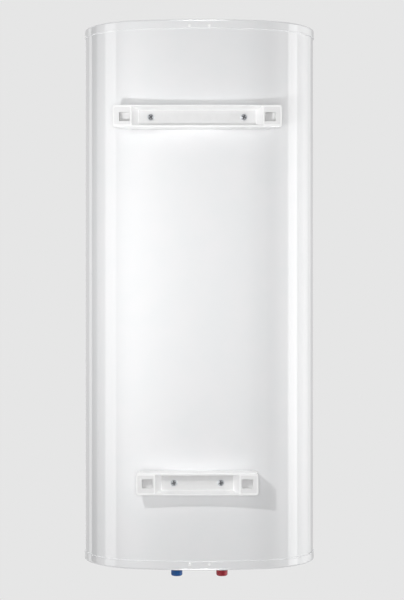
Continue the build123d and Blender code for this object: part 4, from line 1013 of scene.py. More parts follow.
# ---------------------------------------------------------------- casing
@dataclass
class Casing:
    """The oval enamelled jacket between two moulded end caps, and the caps' screws."""

    section: Oval
    jacket_sheet: float = 0.8 * MM
    cap_height: float = 20 * MM
    cap_proud: float = 1.8 * MM
    cap_gap: float = 0.2 * MM
    cap_plate: float = 2.5 * MM
    edge_radius: float = 5 * MM
    lip_proud: float = 2.3 * MM
    lip_height: float = 2 * MM
    lip_round: float = 0.5 * MM
    bead_inset: float = 24 * MM
    bead_width: float = 3 * MM
    bead_depth: float = 0.9 * MM
    screw: CrossScrew = CrossScrew(3.2 * MM, 1.9 * MM, 1.8 * MM, 8 * MM)
    screw_x: float = 21 * MM
    screw_inset: float = 14 * MM
    screw_sunk: float = 0.8 * MM
    recess_radius: float = 4 * MM
    boss_hole: float = 9 * MM
    pipe_hole: float = 12 * MM
    gland_hole: float = 8.2 * MM
    panel_opening: tuple[float, float] = (150 * MM, 46 * MM)
    cutter_reach: float = 20 * MM
    cutter_lead: float = 5 * MM

    def build(self) -> None:
        """Builds the jacket, the caps and their screws."""
        self.build_jacket()
        for end in End:
            self.build_cap(end)
        self.build_screws()

    def build_jacket(self) -> None:
        """A tube of thin sheet with holes for the bosses and the panel."""
        low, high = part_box("jacket")
        mesh = bmesh.new()
        ring = self.section.ring
        skin(mesh, [ring(0, low.z), ring(0, high.z), ring(-self.jacket_sheet, high.z),
                    ring(-self.jacket_sheet, low.z)], closed=True)
        jacket = object_from("jacket_shell", mesh)
        holes = bmesh.new()
        for place in bolt_places():
            start = Vector((place.x, self.section.rear_y(place.x) - self.cutter_reach, place.z))
            rod(holes, start, TO_WALL, self.boss_hole, 2 * self.cutter_reach)
        panel_low, panel_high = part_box("control_panel")
        middle = (panel_low + panel_high) / 2
        half_width, half_height = self.panel_opening[0] / 2, self.panel_opening[1] / 2
        block(holes, Vector((-half_width, panel_low.y, middle.z - half_height)),
              Vector((half_width, panel_high.y + self.cutter_reach, middle.z + half_height)))
        drill(jacket, object_from("jacket_holes", holes))
        dress(jacket, JACKET_ENAMEL, Body.HEATER, ["jacket"])

    def cap_profile(self) -> tuple[Profile, Profile]:
        """The cap's section, from the seam inwards and back.

        Returns:
            Its outside and its inside: growth from the body's oval, and depth from its plane.
        """
        lip, soft, proud, height = self.lip_proud, self.lip_round, self.cap_proud, self.cap_height
        edge, plate, bead = self.edge_radius, self.cap_plate, -self.bead_inset
        inner = edge - (proud - self.cap_gap)
        outside = [(self.cap_gap, height), (lip - soft, height)]
        outside += fillet_profile((lip - soft, height - soft), soft, 90, 0, 4)
        outside += fillet_profile((lip - soft, height - self.lip_height + soft), soft, 0, -90, 4)
        outside += [(proud, height - self.lip_height), (proud, height - self.lip_height - soft)]
        outside += fillet_profile((proud - edge, edge), edge, 0, -90, 12)
        outside += [(bead + self.bead_width, 0), (bead + self.bead_width / 2, self.bead_depth), (bead, 0)]
        inside = [(bead, plate), *fillet_profile((self.cap_gap - inner, plate + inner), inner, -90, 0, 8)]
        return outside, inside

    def plane_of(self, end: End) -> float:
        """Height of an end cap's outer plane."""
        low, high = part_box(f"{end.name.lower()}_cap")
        return high.z if end is End.TOP else low.z

    def build_cap(self, end: End) -> None:
        """One end cap: a closed shell with a lip at the seam, screw recesses and pipe holes.

        Args:
            end: Which cap.
        """
        node = f"{end.name.lower()}_cap"
        plane = self.plane_of(end)
        outside, inside = ([self.section.ring(grow, plane - end.value * depth) for grow, depth in profile]
                           for profile in self.cap_profile())
        mesh = bmesh.new()
        mesh.faces.new(skin(mesh, outside)[-1])
        mesh.faces.new(skin(mesh, inside)[0])
        skin(mesh, [inside[-1], outside[0]])
        cap = object_from(node + "_shell", mesh)
        holes = bmesh.new()
        for side in (-1, 1):
            rod(holes, self.screw_place(end, side), TO_WALL, self.recess_radius, self.cutter_reach)
        if end is End.BOTTOM:
            for name, radius in (("cold_nipple", self.pipe_hole), ("hot_nipple", self.pipe_hole),
                                 ("cable_gland", self.gland_hole)):
                start = upright_at(name) @ (UP * (plane - self.cutter_lead))
                rod(holes, start, UP, radius, self.cutter_reach)
        drill(cap, object_from(node + "_holes", holes))
        dress(cap, CAP_ABS, Body.HEATER, [node])

    def screw_place(self, end: End, side: int) -> Vector:
        """Seat of one cap screw, a little below the cap's skin.

        Args:
            end: Which cap it holds.
            side: Which side of the centre line it is on, -1 or 1.

        Returns:
            Where its head sits.
        """
        seat = self.section.rear_y(self.screw_x) + self.cap_proud - self.screw_sunk
        return Vector((side * self.screw_x, seat, self.plane_of(end) - end.value * self.screw_inset))

    def build_screws(self) -> None:
        """The two small screws at the rear of each cap."""
        places = [self.screw_place(end, side) for side in (-1, 1) for end in End]
        item = self.screw.build("cap_screw")
        screws = repeated("cap_fixing_screws", item, places, FACING_WALL, SCREW_PAINT, slack=math.pi / 2)
        dress(screws, SCREW_PAINT, Body.HEATER, ["cap_screws"])


# ---------------------------------------------------------------- wall brackets
@dataclass(frozen=True)
class Pan:
    """The flat faces of one pressed bracket.

    Attributes:
        half_length: From its middle to its end.
        pad_inner: From its middle to where the pads begin.
        floor_half: Half the length of the sunken floor.
        window_x: From its middle to the windows' middles.
        window_z: The windows' height against its middle.
    """

    half_length: float
    pad_inner: float
    floor_half: float
    window_x: float
    window_z: float


PANS = {"upper_bracket": Pan(178.8 * MM, 139 * MM, 125.2 * MM, 154 * MM, -2 * MM),
        "lower_bracket": Pan(129.2 * MM, 89.2 * MM, 76.9 * MM, 105.6 * MM, 1.4 * MM)}


@dataclass
class WallBrackets:
    """The two pressed hook brackets, thin sheets of painted shade on their flat faces, bolts and washers."""

    press_radius: float = 0.5 * MM
    floor_y: float = -27 * MM
    floor_half_height: float = 15.2 * MM
    floor_margin: float = 0.6 * MM
    pad_half_height: float = 18.4 * MM
    pad_edge: float = 3.2 * MM
    pad_margin: float = 2 * MM
    pocket: float = 0.8 * MM
    pocket_lead: float = 1 * MM
    shade_sheet_sink: float = 0.3 * MM
    shade_sheet_thickness: float = 0.4 * MM
    pad_corner: float = 3 * MM
    window: tuple[float, float, float] = (22.5 * MM, 10 * MM, 19 * MM)
    screw: CrossScrew = CrossScrew(6.4 * MM, 4.6 * MM, 3.9 * MM, 20 * MM)
    washer_inner: float = 4.2 * MM
    washer_outer: float = 8.6 * MM
    washer_sheet: float = 1.2 * MM

    def build(self) -> None:
        """Builds both brackets and what holds them."""
        for node in PANS:
            self.build_pressing(node)
        self.build_shade_sheets()
        self.build_bolts()

    def add_pads(self, mesh: BMesh, node: str, sink: float) -> None:
        """Adds the two pads' areas that carry painted shade to a mesh.

        Args:
            mesh: The mesh to add to.
            node: The bracket.
            sink: How far below the pads' faces they begin.
        """
        middle, pan = centre_of(node), PANS[node]
        for sign in (-1, 1):
            ends = sorted((middle.x + sign * (pan.pad_inner + self.pad_margin),
                           middle.x + sign * (pan.half_length - self.pad_edge)))
            plate(mesh, Vector((ends[0], -self.pocket, middle.z - self.pad_half_height)),
                  Vector((ends[1], -sink, middle.z + self.pad_half_height)), self.pad_corner)

    def build_pressing(self, node: str) -> None:
        """One bracket with softened edges and a shallow pocket in each pad.

        Args:
            node: The bracket's CAD node.
        """
        bracket = copy_of(node, node + "_pressing")
        soften(bracket, self.press_radius)
        pockets = bmesh.new()
        self.add_pads(pockets, node, -self.pocket_lead)
        drill(bracket, object_from(node + "_pockets", pockets))
        dress(bracket, BRACKET_POWDER_COAT, Body.HEATER, [node])

    def build_shade_sheets(self) -> None:
        """The thin sheets on the pads and in the troughs, greyer than the pressing: painted shade."""
        pads, troughs, holes = bmesh.new(), bmesh.new(), bmesh.new()
        half = Vector(self.window) / 2
        for node, pan in PANS.items():
            middle = centre_of(node)
            self.add_pads(pads, node, self.shade_sheet_sink)
            reach = Vector((pan.floor_half - self.floor_margin, 0, self.floor_half_height))
            floor = Vector((middle.x, self.floor_y, middle.z))
            plate(troughs, floor - reach, floor + reach + TO_WALL * self.shade_sheet_thickness, self.floor_margin)
            for sign in (-1, 1):
                window = Vector((middle.x + sign * pan.window_x, 0, middle.z + pan.window_z))
                block(holes, window - half, window + half)
        pad_sheets = object_from("bracket_pad_liners", pads)
        drill(pad_sheets, object_from("bracket_windows", holes))
        dress(pad_sheets, PAD_SHADE_COAT, Body.HEATER)
        dress(object_from("bracket_trough_liners", troughs), TROUGH_SHADE_COAT, Body.HEATER)

    def build_bolts(self) -> None:
        """The bolts, the painted shade in their recesses, and the washers."""
        places = bolt_places()
        for name, item, finish, stands_for in (
                ("bracket_bolt_set", self.screw.build("bolt"), BOLT_ZINC, ["bracket_bolts"]),
                ("bracket_bolt_recess_set", self.screw.build_recess_shade("recess_floor"), RECESS_SHADE, [])):
            bolts = repeated(name, item, places, FACING_WALL, finish, slack=math.pi / 2)
            dress(bolts, finish, Body.HEATER, stands_for)
        item = build_washer("bracket_washer", self.washer_inner, self.washer_outer, self.washer_sheet)
        seats = [place - TO_WALL * self.washer_sheet for place in places]
        washers = repeated("bracket_washer_set", item, seats, FACING_WALL, SHEET_ZINC)
        dress(washers, SHEET_ZINC, Body.HEATER, ["bracket_washers"])


# ---------------------------------------------------------------- pipe connections
@dataclass
class PipeConnections:
    """The two threaded nipples, their transport caps and the grommets round them."""

    nipple_radius: float = 10.48 * MM
    bore: float = 8 * MM
    root_radius: float = 9.32 * MM
    pitch: float = 1.814 * MM
    relief_length: float = 2 * MM
    pilot_radius: float = 9.6 * MM
    pilot_length: float = 11.5 * MM
    pilot_chamfer: float = 0.5 * MM
    cap_radius: float = 12.6 * MM
    cap_round: float = 3.5 * MM
    cap_end: float = 1.5 * MM
    cap_pocket: float = 9.9 * MM
    cap_soft: float = 0.4 * MM
    mouth_bead: float = 1.7 * MM
    groove_depth: float = 0.35 * MM
    groove_wall: float = 0.3 * MM
    grommet_gap: float = 0.05 * MM
    grommet_throat: float = 11.9 * MM
    grommet_outer: float = 15 * MM
    grommet_proud: float = 1.4 * MM
    grommet_soft: float = 0.6 * MM
    cap_plate: float = 2.5 * MM

    def build(self) -> None:
        """Builds both connections."""
        thread = thread_tree()
        for service in Service:
            self.build_nipple(service, thread)
            self.build_cap(service)
            self.build_grommet(service)

    def build_nipple(self, service: Service, thread: GeometryTree) -> None:
        """A bored nipple with a G 1/2 thread below the cap's plane and a plain end.

        Args:
            service: Which connection.
            thread: The tree that winds the thread.
        """
        node = f"{service.value[0]}_nipple"
        low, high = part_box(node)
        middle = centre_of(node)
        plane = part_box("bottom_cap")[0].z
        pilot, chamfer = self.pilot_radius, self.pilot_chamfer
        pilot_top = low.z + self.pilot_length
        depth = self.nipple_radius - self.root_radius
        profile = [(self.bore, high.z), (self.nipple_radius, high.z), (self.nipple_radius, plane),
                   (self.root_radius, plane), (self.root_radius, pilot_top), (pilot, pilot_top - depth * 0.3),
                   (pilot, low.z + chamfer), (pilot - chamfer, low.z), (self.bore, low.z)]
        nipple = lathed(node + "_threaded", profile, upright_at(node), steps=64, closed=True)
        # the ridge is as wide as the pitch, so its ends stay inside the threaded length
        turns = (plane - self.relief_length - pilot_top) / self.pitch - 0.5
        values = {"Root": (middle.x, middle.y, pilot_top + self.pitch / 4), "Pitch": self.pitch,
                  "Turns": turns, "Radius": self.root_radius, "Depth": depth,
                  "Finish": material_of(PIPE_ZINC)}
        run_tree(nipple, thread, values)
        dress(nipple, PIPE_ZINC, Body.HEATER, [node])

    def build_cap(self, service: Service) -> None:
        """A push-on cap with a rounded end and a bead at its mouth, set off by a groove.

        Args:
            service: Which connection.
        """
        name, body = service.value
        node = f"{name}_thread_cap"
        low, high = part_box(node)
        outer, soft, pocket, wall = self.cap_radius, self.cap_soft, self.cap_pocket, self.groove_wall
        bead = high.z - self.mouth_bead
        floor = low.z + self.cap_end
        profile = [(0, low.z), *fillet_profile((outer - self.cap_round, low.z + self.cap_round),
                                               self.cap_round, -90, 0, 8)]
        profile += [(outer, bead - 3 * wall), (outer - self.groove_depth, bead - 2 * wall),
                    (outer - self.groove_depth, bead - wall), (outer, bead), (outer, high.z - soft),
                    (outer - soft, high.z), (pocket + soft, high.z), (pocket, high.z - soft),
                    (pocket, floor), (0, floor)]
        finish = BLUE_POLYETHYLENE if service is Service.COLD else RED_POLYETHYLENE
        dress(lathed(node + "_moulding", profile, upright_at(node), steps=64), finish, body, [node])

    def build_grommet(self, service: Service) -> None:
        """A rubber grommet between a nipple and the bottom cap.

        Args:
            service: Which connection.
        """
        name = service.value[0]
        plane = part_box("bottom_cap")[0].z
        inner, outer, soft = self.nipple_radius + self.grommet_gap, self.grommet_outer, self.grommet_soft
        foot, head = plane - self.grommet_proud, plane + self.cap_plate
        profile = [(inner, foot), *fillet_profile((outer - soft, foot + soft), soft, -90, 0, 4),
                   (outer, plane), (self.grommet_throat, plane), (self.grommet_throat, head), (inner, head)]
        grommet = lathed(f"{name}_pipe_grommet", profile, upright_at(f"{name}_nipple"), steps=64, closed=True)
        dress(grommet, GASKET_RUBBER, Body.HEATER)


# ---------------------------------------------------------------- cable entry
@dataclass
class CableEntry:
    """The cord's gland: a hexagonal body, a fluted dome nut and the rubber seal in its mouth."""

    across_flats: float = 22 * MM
    hex_height: float = 5 * MM
    hex_soft: float = 0.8 * MM
    dome_radius: float = 10 * MM
    dome_taper: float = math.radians(8)
    dome_round: float = 2 * MM
    dome_shoulder: float = 3.2 * MM
    dome_rim: Pairs = ((0.3 * MM, 0.8 * MM), (0.6 * MM, 0.0))  # in from its radius, down from its top
    grip_start: float = 3 * MM
    grip_depth: float = 0.6 * MM
    flutes: int = 12
    thread_radius: float = 8 * MM
    bore: float = 4.2 * MM
    seal_width: float = 2.2 * MM
    seal_sunk: tuple[float, float] = (1.2 * MM, 0.8 * MM)

    def build(self) -> None:
        """Builds the gland and dresses its nut."""
        low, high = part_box("cable_gland")
        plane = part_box("bottom_cap")[0].z
        hex_low = plane - self.hex_height
        placing = upright_at("cable_gland")
        mesh = bmesh.new()
        self.add_hexagon(mesh, placing, plane, hex_low)
        self.add_dome(mesh, placing, hex_low, low.z)
        thread = [(self.bore, plane), (self.thread_radius, plane), (self.thread_radius, high.z),
                  (self.bore, high.z)]
        lathe(mesh, thread, placing, closed=True)
        dress(object_from("cord_gland_body", mesh), GLAND_POLYAMIDE, Body.HEATER, ["cable_gland"])
        mouth = self.bore + self.seal_width
        seal = [(self.bore, low.z + self.seal_sunk[0]), (mouth, low.z + self.seal_sunk[1]), (mouth, hex_low),
                (self.bore, hex_low)]
        dress(lathed("cord_gland_seal", seal, placing, closed=True), GASKET_RUBBER, Body.HEATER)
        dress_nodes(GLAND_POLYAMIDE, "gland_nut")

    def add_hexagon(self, mesh: BMesh, placing: Matrix, top: float, foot: float) -> None:
        """Adds the hexagonal collar.

        Args:
            mesh: The mesh to add to.
            placing: The gland's own axis.
            top: Height of its top.
            foot: Height of its foot.
        """
        corner, soft = self.across_flats / 2 / math.cos(math.pi / 6), self.hex_soft

        def flats(turn: float, height: float) -> float:
            """What the flats take off the corner radius."""
            lean = (turn % (math.pi / 3)) - math.pi / 6
            return corner - self.across_flats / 2 / math.cos(lean)

        profile = [(self.bore, top), (corner, top), (corner, foot + soft), (corner - soft, foot),
                   (self.bore, foot)]
        lathe(mesh, profile, placing, steps=72, flute=flats, closed=True)

    def add_dome(self, mesh: BMesh, placing: Matrix, top: float, foot: float) -> None:
        """Adds the tapered dome nut with its grip flutes.

        Args:
            mesh: The mesh to add to.
            placing: The gland's own axis.
            top: Height of its top.
            foot: Height of its foot.
        """
        def grip(turn: float, height: float) -> float:
            """What the grip flutes take off the dome nut."""
            fluted = height > foot + self.grip_start
            return self.grip_depth * max(0.0, math.cos(self.flutes * turn)) if fluted else 0.0

        taper = math.tan(self.dome_taper) * (top - foot)
        wide, narrow = self.dome_radius, self.dome_radius - taper
        mouth, soft = self.bore + self.seal_width, self.dome_round
        profile = [(mouth, foot), *fillet_profile((narrow - soft, foot + soft), soft, -90, 0),
                   (narrow + taper / 4, foot + self.dome_shoulder)]
        profile += [(wide - inset, top - drop) for inset, drop in self.dome_rim] + [(mouth, top)]
        lathe(mesh, profile, placing, steps=96, flute=grip, closed=True)


# ---------------------------------------------------------------- control panel
@dataclass
class ControlPanel:
    """The moulded front panel with its knob, dial, display, buttons and indicators."""

    edge_radius: float = 0.35 * MM
    knob_radius: float = 20 * MM
    knob_height: float = 15 * MM
    knob_draft: float = math.radians(4)
    knob_round: float = 1.6 * MM
    knob_gap: float = 0.3 * MM
    knob_foot: Pairs = ((0.0, 2.2 * MM), (0.3 * MM, 3.0 * MM))  # in from its radius, up from the gap
    knob_dish_edge: Pairs = ((3.0 * MM, 0.1 * MM), (4.0 * MM, 0.7 * MM))  # in from the rim, down
    knob_dish: Pairs = ((0.5, 0.9 * MM), (0.0, 1.0 * MM))  # share of the rim's radius, down
    knob_flutes: int = 24
    flute_depth: float = 0.9 * MM
    flute_ends: tuple[float, float] = (3 * MM, 0.4 * MM)  # up from the panel, down from the top
    spindle_radius: float = 3 * MM
    pointer: tuple[float, float] = (10 * MM, 2 * MM)
    pointer_level: float = 0.6 * MM  # below the knob's top
    pointer_ends: tuple[float, float] = (0.6 * MM, -0.4 * MM)  # its foot and its face, from there
    pointer_reach: float = 0.58
    lens_dome: Pairs = ((0.9, 0.15 * MM), (0.6, 0.32 * MM), (0.0, 0.4 * MM))  # share of its radius, up
    dial_radius: float = 25.5 * MM
    dial_ticks: int = 11
    dial_sweep: float = math.radians(270)
    tick: tuple[float, float, float] = (0.6 * MM, 2.8 * MM, 0.06 * MM)
    digit_height: float = 11 * MM
    digit_width: float = 6.2 * MM
    digit_offset: float = 0.8  # from the middle, in widths
    segment: float = 1.3 * MM
    segment_gap: float = 0.25 * MM
    segment_relief: float = 0.15 * MM

    def build(self) -> None:
        """Builds the panel and everything on it."""
        panel = copy_of("control_panel", "control_panel_moulding")
        soften(panel, self.edge_radius)
        dress(panel, PANEL_ABS, Body.HEATER, ["control_panel"])
        for node, body in (("power_button", Body.POWER), ("mode_button", Body.MODE)):
            dress(copy_of(node, node + "_key"), BUTTON_ABS, body, [node])
        dress_nodes(SMOKED_ACRYLIC, "display_window")
        dress_nodes(BLACK_PHENOLIC, "display_module", "board_switches", "knob_encoder")
        dress_nodes(BOARD_LAMINATE, "control_board")
        dress_nodes(BOLT_ZINC, "board_screws")
        self.build_lenses()
        self.build_knob()
        self.build_pointer()
        self.build_dial()
        self.build_digits()

    def face_y(self) -> float:
        """The panel's front face."""
        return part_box("control_panel")[0].y

    def knob_centre(self) -> Vector:
        """Where the knob's axis meets the panel's front face."""
        centre = centre_of("temperature_knob")
        return Vector((centre.x, self.face_y(), centre.z))

    def build_lenses(self) -> None:
        """Three small domed light pipes over the buttons."""
        low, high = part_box("indicator_lenses")
        radius = (high.z - low.z) / 2
        pitch = (high.x - low.x - 2 * radius) / 2
        length = high.y - self.face_y()
        profile = [(0, -length), (radius, -length), (radius, 0)]
        profile += [(radius * share, rise) for share, rise in self.lens_dome]
        item = lathed("lens", profile, Matrix.Identity(4), steps=24)
        places = [Vector((low.x + radius + i * pitch, self.face_y(), (low.z + high.z) / 2)) for i in range(3)]
        lenses = repeated("indicator_light_pipes", item, places, FACING_ROOM, LENS_POLYCARBONATE)
        dress(lenses, LENS_POLYCARBONATE, Body.HEATER, ["indicator_lenses"])

    def build_knob(self) -> None:
        """A fluted knob with a dished face."""
        centre = self.knob_centre()
        low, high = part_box("temperature_knob")
        top, base, back = centre.y - low.y, self.knob_gap, centre.y - high.y
        wide, soft = self.knob_radius, self.knob_round
        rim = wide - math.tan(self.knob_draft) * self.knob_height

        def flutes(turn: float, height: float) -> float:
            """What the grip flutes take off the side, above its foot and below its rim.

            Args:
                turn: Bearing round the knob.
                height: Height above the panel.

            Returns:
                The depth taken off.
            """
            if not self.flute_ends[0] < height < top - self.flute_ends[1]:
                return 0.0
            return self.flute_depth * max(0.0, math.cos(self.knob_flutes * turn)) ** 2

        profile = [(0, back), (self.spindle_radius, back), (self.spindle_radius, base), (wide, base)]
        profile += [(wide - inset, base + rise) for inset, rise in self.knob_foot]
        profile += [(wide + (rim - wide) * share, base + (top - base - soft) * share)
                    for share in (0.3, 0.6, 1.0)]
        profile += fillet_profile((rim - soft, top - soft), soft, 10, 90, 6)
        profile += [(rim - inset, top - drop) for inset, drop in self.knob_dish_edge]
        profile += [(rim * share, top - drop) for share, drop in self.knob_dish]
        knob = lathed("temperature_knob_moulding", profile, turned_to(-TO_WALL, centre),
                      steps=self.knob_flutes * 8, flute=flutes)
        dress(knob, KNOB_ABS, Body.KNOB, ["temperature_knob"])

    def build_pointer(self) -> None:
        """The knob's raised pointer, a bar with round ends."""
        length, width = self.pointer
        bar = (length - width) / 2
        centre = self.knob_centre()
        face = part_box("temperature_knob")[0].y + self.pointer_level
        middle = Vector((centre.x, face, centre.z + self.knob_radius * self.pointer_reach))
        outline = (fillet_profile((0, bar), width / 2, 0, 180, 8)
                   + fillet_profile((0, -bar), width / 2, 180, 360, 8))
        mesh = bmesh.new()
        prism(mesh, [[middle + Vector((x, y, z)) for x, z in outline] for y in self.pointer_ends])
        dress(object_from("knob_pointer", mesh), PRINT_INK, Body.KNOB)

    def build_dial(self) -> None:
        """Printed ticks round the knob."""
        centre = self.knob_centre()
        width, length, thick = self.tick
        mesh = bmesh.new()
        block(mesh, Vector((-width / 2, -length / 2, 0)), Vector((width / 2, length / 2, thick)))
        item = object_from("tick", mesh)
        angles = [self.dial_sweep * (i / (self.dial_ticks - 1) - 0.5) for i in range(self.dial_ticks)]
        places = [centre + Vector((math.sin(a), 0, math.cos(a))) * self.dial_radius for a in angles]
        ticks = repeated("dial_ticks", item, places, FACING_ROOM, PRINT_INK, turns=[-a for a in angles])
        dress(ticks, PRINT_INK, Body.HEATER)

    def build_digits(self) -> None:
        """Two unlit seven-segment digits on the display module, behind the smoked window."""
        face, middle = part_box("display_module")[0].y, centre_of("display_module")
        half_w, half_h, half_s = self.digit_width / 2, self.digit_height / 2, self.segment / 2
        level = [(0, z, False) for z in (half_h, 0, -half_h)]
        upright = [(x, z, True) for z in (half_h / 2, -half_h / 2) for x in (-half_w, half_w)]
        mesh = bmesh.new()
        for offset in (-self.digit_width * self.digit_offset, self.digit_width * self.digit_offset):
            for x, z, stands in level + upright:
                reach = (half_h / 2 if stands else half_w) - self.segment_gap
                points = [(-reach, 0), (-reach + half_s, half_s), (reach - half_s, half_s), (reach, 0),
                          (reach - half_s, -half_s), (-reach + half_s, -half_s)]
                if stands:
                    points = [(-b, a) for a, b in points]
                prism(mesh, [[Vector((middle.x + offset + x + a, y, middle.z + z + b)) for a, b in points]
                             for y in (face, face - self.segment_relief)])
        dress(object_from("display_segments", mesh), SEGMENT_RESIN, Body.HEATER)


# ---------------------------------------------------------------- inside
def dress_inside() -> None:
    """Finishes the pieces inside the casing, which keep their own meshes."""
    dress_nodes(TANK_GLAZE, "left_tank", "right_tank", "left_flange_ring", "right_flange_ring")
    dress_nodes(SHEET_ZINC, "upper_strap", "lower_strap", "strap_bosses", "component_tray",
                "left_flange_plate", "right_flange_plate")
    dress_nodes(BOLT_ZINC, "flange_bolts")
    dress_nodes(TUBE_STAINLESS, "upper_transfer_pipe", "lower_transfer_pipe", "hot_outlet_tube",
                "temperature_probes", "left_thermowell", "right_thermowell")
    dress_nodes(GLAND_POLYAMIDE, "inlet_diffuser")
    dress_nodes(FOAM, "insulation_foam")
    dress_nodes(GASKET_RUBBER, "left_flange_gasket", "right_flange_gasket")
    dress_nodes(ELEMENT_COPPER, "left_heating_element", "right_heating_element")
    dress_nodes(ANODE_MAGNESIUM, "left_anode", "right_anode")
    dress_nodes(BLACK_PHENOLIC, "thermal_cutout")
    dress_nodes(RESET_ABS, "reset_button")
    dress_nodes(TERMINAL_POLYAMIDE, "terminal_block")
    dress_nodes(WIRE_SILICONE, "element_leads")


# ---------------------------------------------------------------- studio
@dataclass
class Studio:
    """A pale round floor that only the camera sees, soft light from all round, lamps and the camera."""

    backdrop: str = "#E6E6E6"
    floor_paint: str = "#E2E2E2"
    floor_middle: tuple[float, float, float] = (0.0, -0.18, -1.6)
    floor_radius: float = 2.3
    floor_fade: tuple[float, float] = (0.3, 0.95)  # shares of the radius
    floor_steps: int = 128
    camera_distance: float = 2.835
    camera_z: float = -0.376
    lens: float = 80.6
    shift: tuple[float, float] = (0.0044, -0.0088)
    key_place: tuple[float, float, float] = (0.37, 0.823, -0.273)
    key_power: float = 13.2
    key_cone: float = 140.0
    key_radius: float = 0.018
    fill_setback: float = 0.115  # behind the camera
    fill_power: float = 33.8
    fill_width: float = 0.7
    front_place: tuple[float, float, float] = (1.3, -2.6, 0.7)
    front_power: float = 19.0
    front_width: float = 1.2
    # matt surroundings: tone from each side, minus and plus, along X, Y and Z
    air: Pairs = ((0.45, 0.35), (0.7, 0.0), (0.8, 0.8))
    # glossy surroundings: bearing from +Y towards +X in degrees, and brightness
    strips: Pairs = (
        (-180, 0.7), (-142, 1.0), (-138, 1.7), (-133, 2.6), (-129, 2.3), (-124, 3.3), (-110, 4.5), (-91, 4.6),
        (-90, 6.9), (-80, 6.0), (-70, 5.4), (-69, 2.6), (-58, 2.4), (-38, 0.6),
        (-28, 0.1), (-21, 0.3), (-17, 0.9), (3, 0.7), (13, 1.1), (24, 2.2), (42, 2.2), (57, 1.7), (59, 4.0),
        (80.5, 4.0), (82, 1.9), (102, 1.4), (105, 0.3), (120, 0.3), (122, 1.9), (130, 1.8), (135, 0.9),
        (180, 0.9))
    # a softer glow at eye level, in the same way, and the rises over which it ends
    glow: Pairs = (
        (-180, 0.0), (-128, 0.2), (-115, 1.0), (-90, 1.0), (-88, 1.9), (-70, 1.9), (-62, 0.8), (-45, 0.1),
        (0, 0.3), (22, 1.0), (57, 0.8), (59, 0.0), (180, 0.0))
    glow_fade: tuple[float, float] = (0.05, 0.2)
    # tones overhead and underfoot, and the rises over which they take over
    ceiling: float = 1.4
    ground: float = 1.5
    overhead: tuple[float, float] = (0.35, 0.6)
    # two small lamps behind the heater, high and low, which draw a bright line along rounded rims:
    # brightness, and along X and Y where it begins and where it is full
    rim_lamp: float = 28.0
    rim_lamp_edges: tuple[tuple[str, float, float], ...] = (
        ("Y", 0.45, 0.53), ("Y", 0.78, 0.72), ("X", -0.16, -0.08), ("X", 0.16, 0.08))

    def build(self) -> None:
        """Builds the floor, the light and the camera."""
        self.build_floor()
        self.build_world()
        self.build_lamps()
        self.build_camera()

    def build_floor(self) -> None:
        """A round floor that fades into the backdrop's colour at its rim."""
        mesh = bmesh.new()
        bmesh.ops.create_circle(mesh, cap_ends=True, segments=self.floor_steps, radius=self.floor_radius)
        bmesh.ops.translate(mesh, verts=mesh.verts, vec=self.floor_middle)
        floor = object_from("studio_floor", mesh)
        # matt paint: it takes the heater's shadow softly and mirrors nothing
        material = bpy.data.materials.new("studio_floor_paint")
        tree = empty_tree(material)
        place = add_node(tree, "ShaderNodeTexCoord").outputs["Object"]
        reach = {0: place, 1: self.floor_middle}
        reach = add_node(tree, "ShaderNodeVectorMath", reach, operation="DISTANCE").outputs["Value"]
        fade = {"Value": reach, "From Min": self.floor_radius * self.floor_fade[0],
                "From Max": self.floor_radius * self.floor_fade[1]}
        fade = add_node(tree, "ShaderNodeMapRange", fade, interpolation_type="SMOOTHSTEP").outputs["Result"]
        paint = {"Base Color": linear(self.floor_paint), "Roughness": 0.8}
        paint = add_node(tree, "ShaderNodeBsdfPrincipled", paint)
        open_air = add_node(tree, "ShaderNodeEmission", {"Color": linear(self.backdrop)})
        mixed = add_node(tree, "ShaderNodeMixShader", {0: fade, 1: paint.outputs[0], 2: open_air.outputs[0]})
        seen = add_node(tree, "ShaderNodeLightPath").outputs["Is Camera Ray"]
        clear = add_node(tree, "ShaderNodeBsdfTransparent").outputs[0]
        mixed = add_node(tree, "ShaderNodeMixShader", {0: seen, 1: clear, 2: mixed.outputs[0]})
        add_node(tree, "ShaderNodeOutputMaterial", {"Surface": mixed.outputs[0]})
        floor.data.materials.append(material)

    def matt_air(self, tree: NodeTree, parts: NodeOutputs) -> Socket:
        """Six tones, one from each side, blended by the square of the direction's parts.

        Args:
            tree: The world's node tree.
            parts: The direction's X, Y and Z.

        Returns:
            The brightness.
        """
        total = 0.0
        for axis, (minus, plus) in zip("XYZ", self.air):
            on_plus = add_node(tree, "ShaderNodeMath", {0: parts[axis], 1: 0.0}, operation="GREATER_THAN")
            tone = add_node(tree, "ShaderNodeMix", {0: on_plus.outputs[0], 2: minus, 3: plus})
            square = add_node(tree, "ShaderNodeMath", {0: parts[axis], 1: parts[axis]}, operation="MULTIPLY")
            summed = {0: square.outputs[0], 1: tone.outputs[0], 2: total}
            total = add_node(tree, "ShaderNodeMath", summed, operation="MULTIPLY_ADD").outputs[0]
        return total

    def round_the_compass(self, tree: NodeTree, turn: Socket, marks: Pairs) -> Socket:
        """Brightness by bearing.

        Args:
            tree: The node tree.
            turn: The bearing, from 0 at -180 degrees to 1 at 180.
            marks: Bearings in degrees, each with its brightness.

        Returns:
            The brightness.
        """
        ramp = add_node(tree, "ShaderNodeValToRGB", {"Fac": turn})
        peak = max(level for _, level in marks) or 1.0
        stops = ramp.color_ramp.elements
        for degrees, _ in marks[1:-1]:
            stops.new((degrees + 180) / 360)
        for stop, (degrees, level) in zip(stops, marks):
            stop.position = (degrees + 180) / 360
            stop.color = (level / peak,) * 3 + (1.0,)
        scaled = {0: ramp.outputs["Color"], 1: peak}
        return add_node(tree, "ShaderNodeMath", scaled, operation="MULTIPLY").outputs[0]

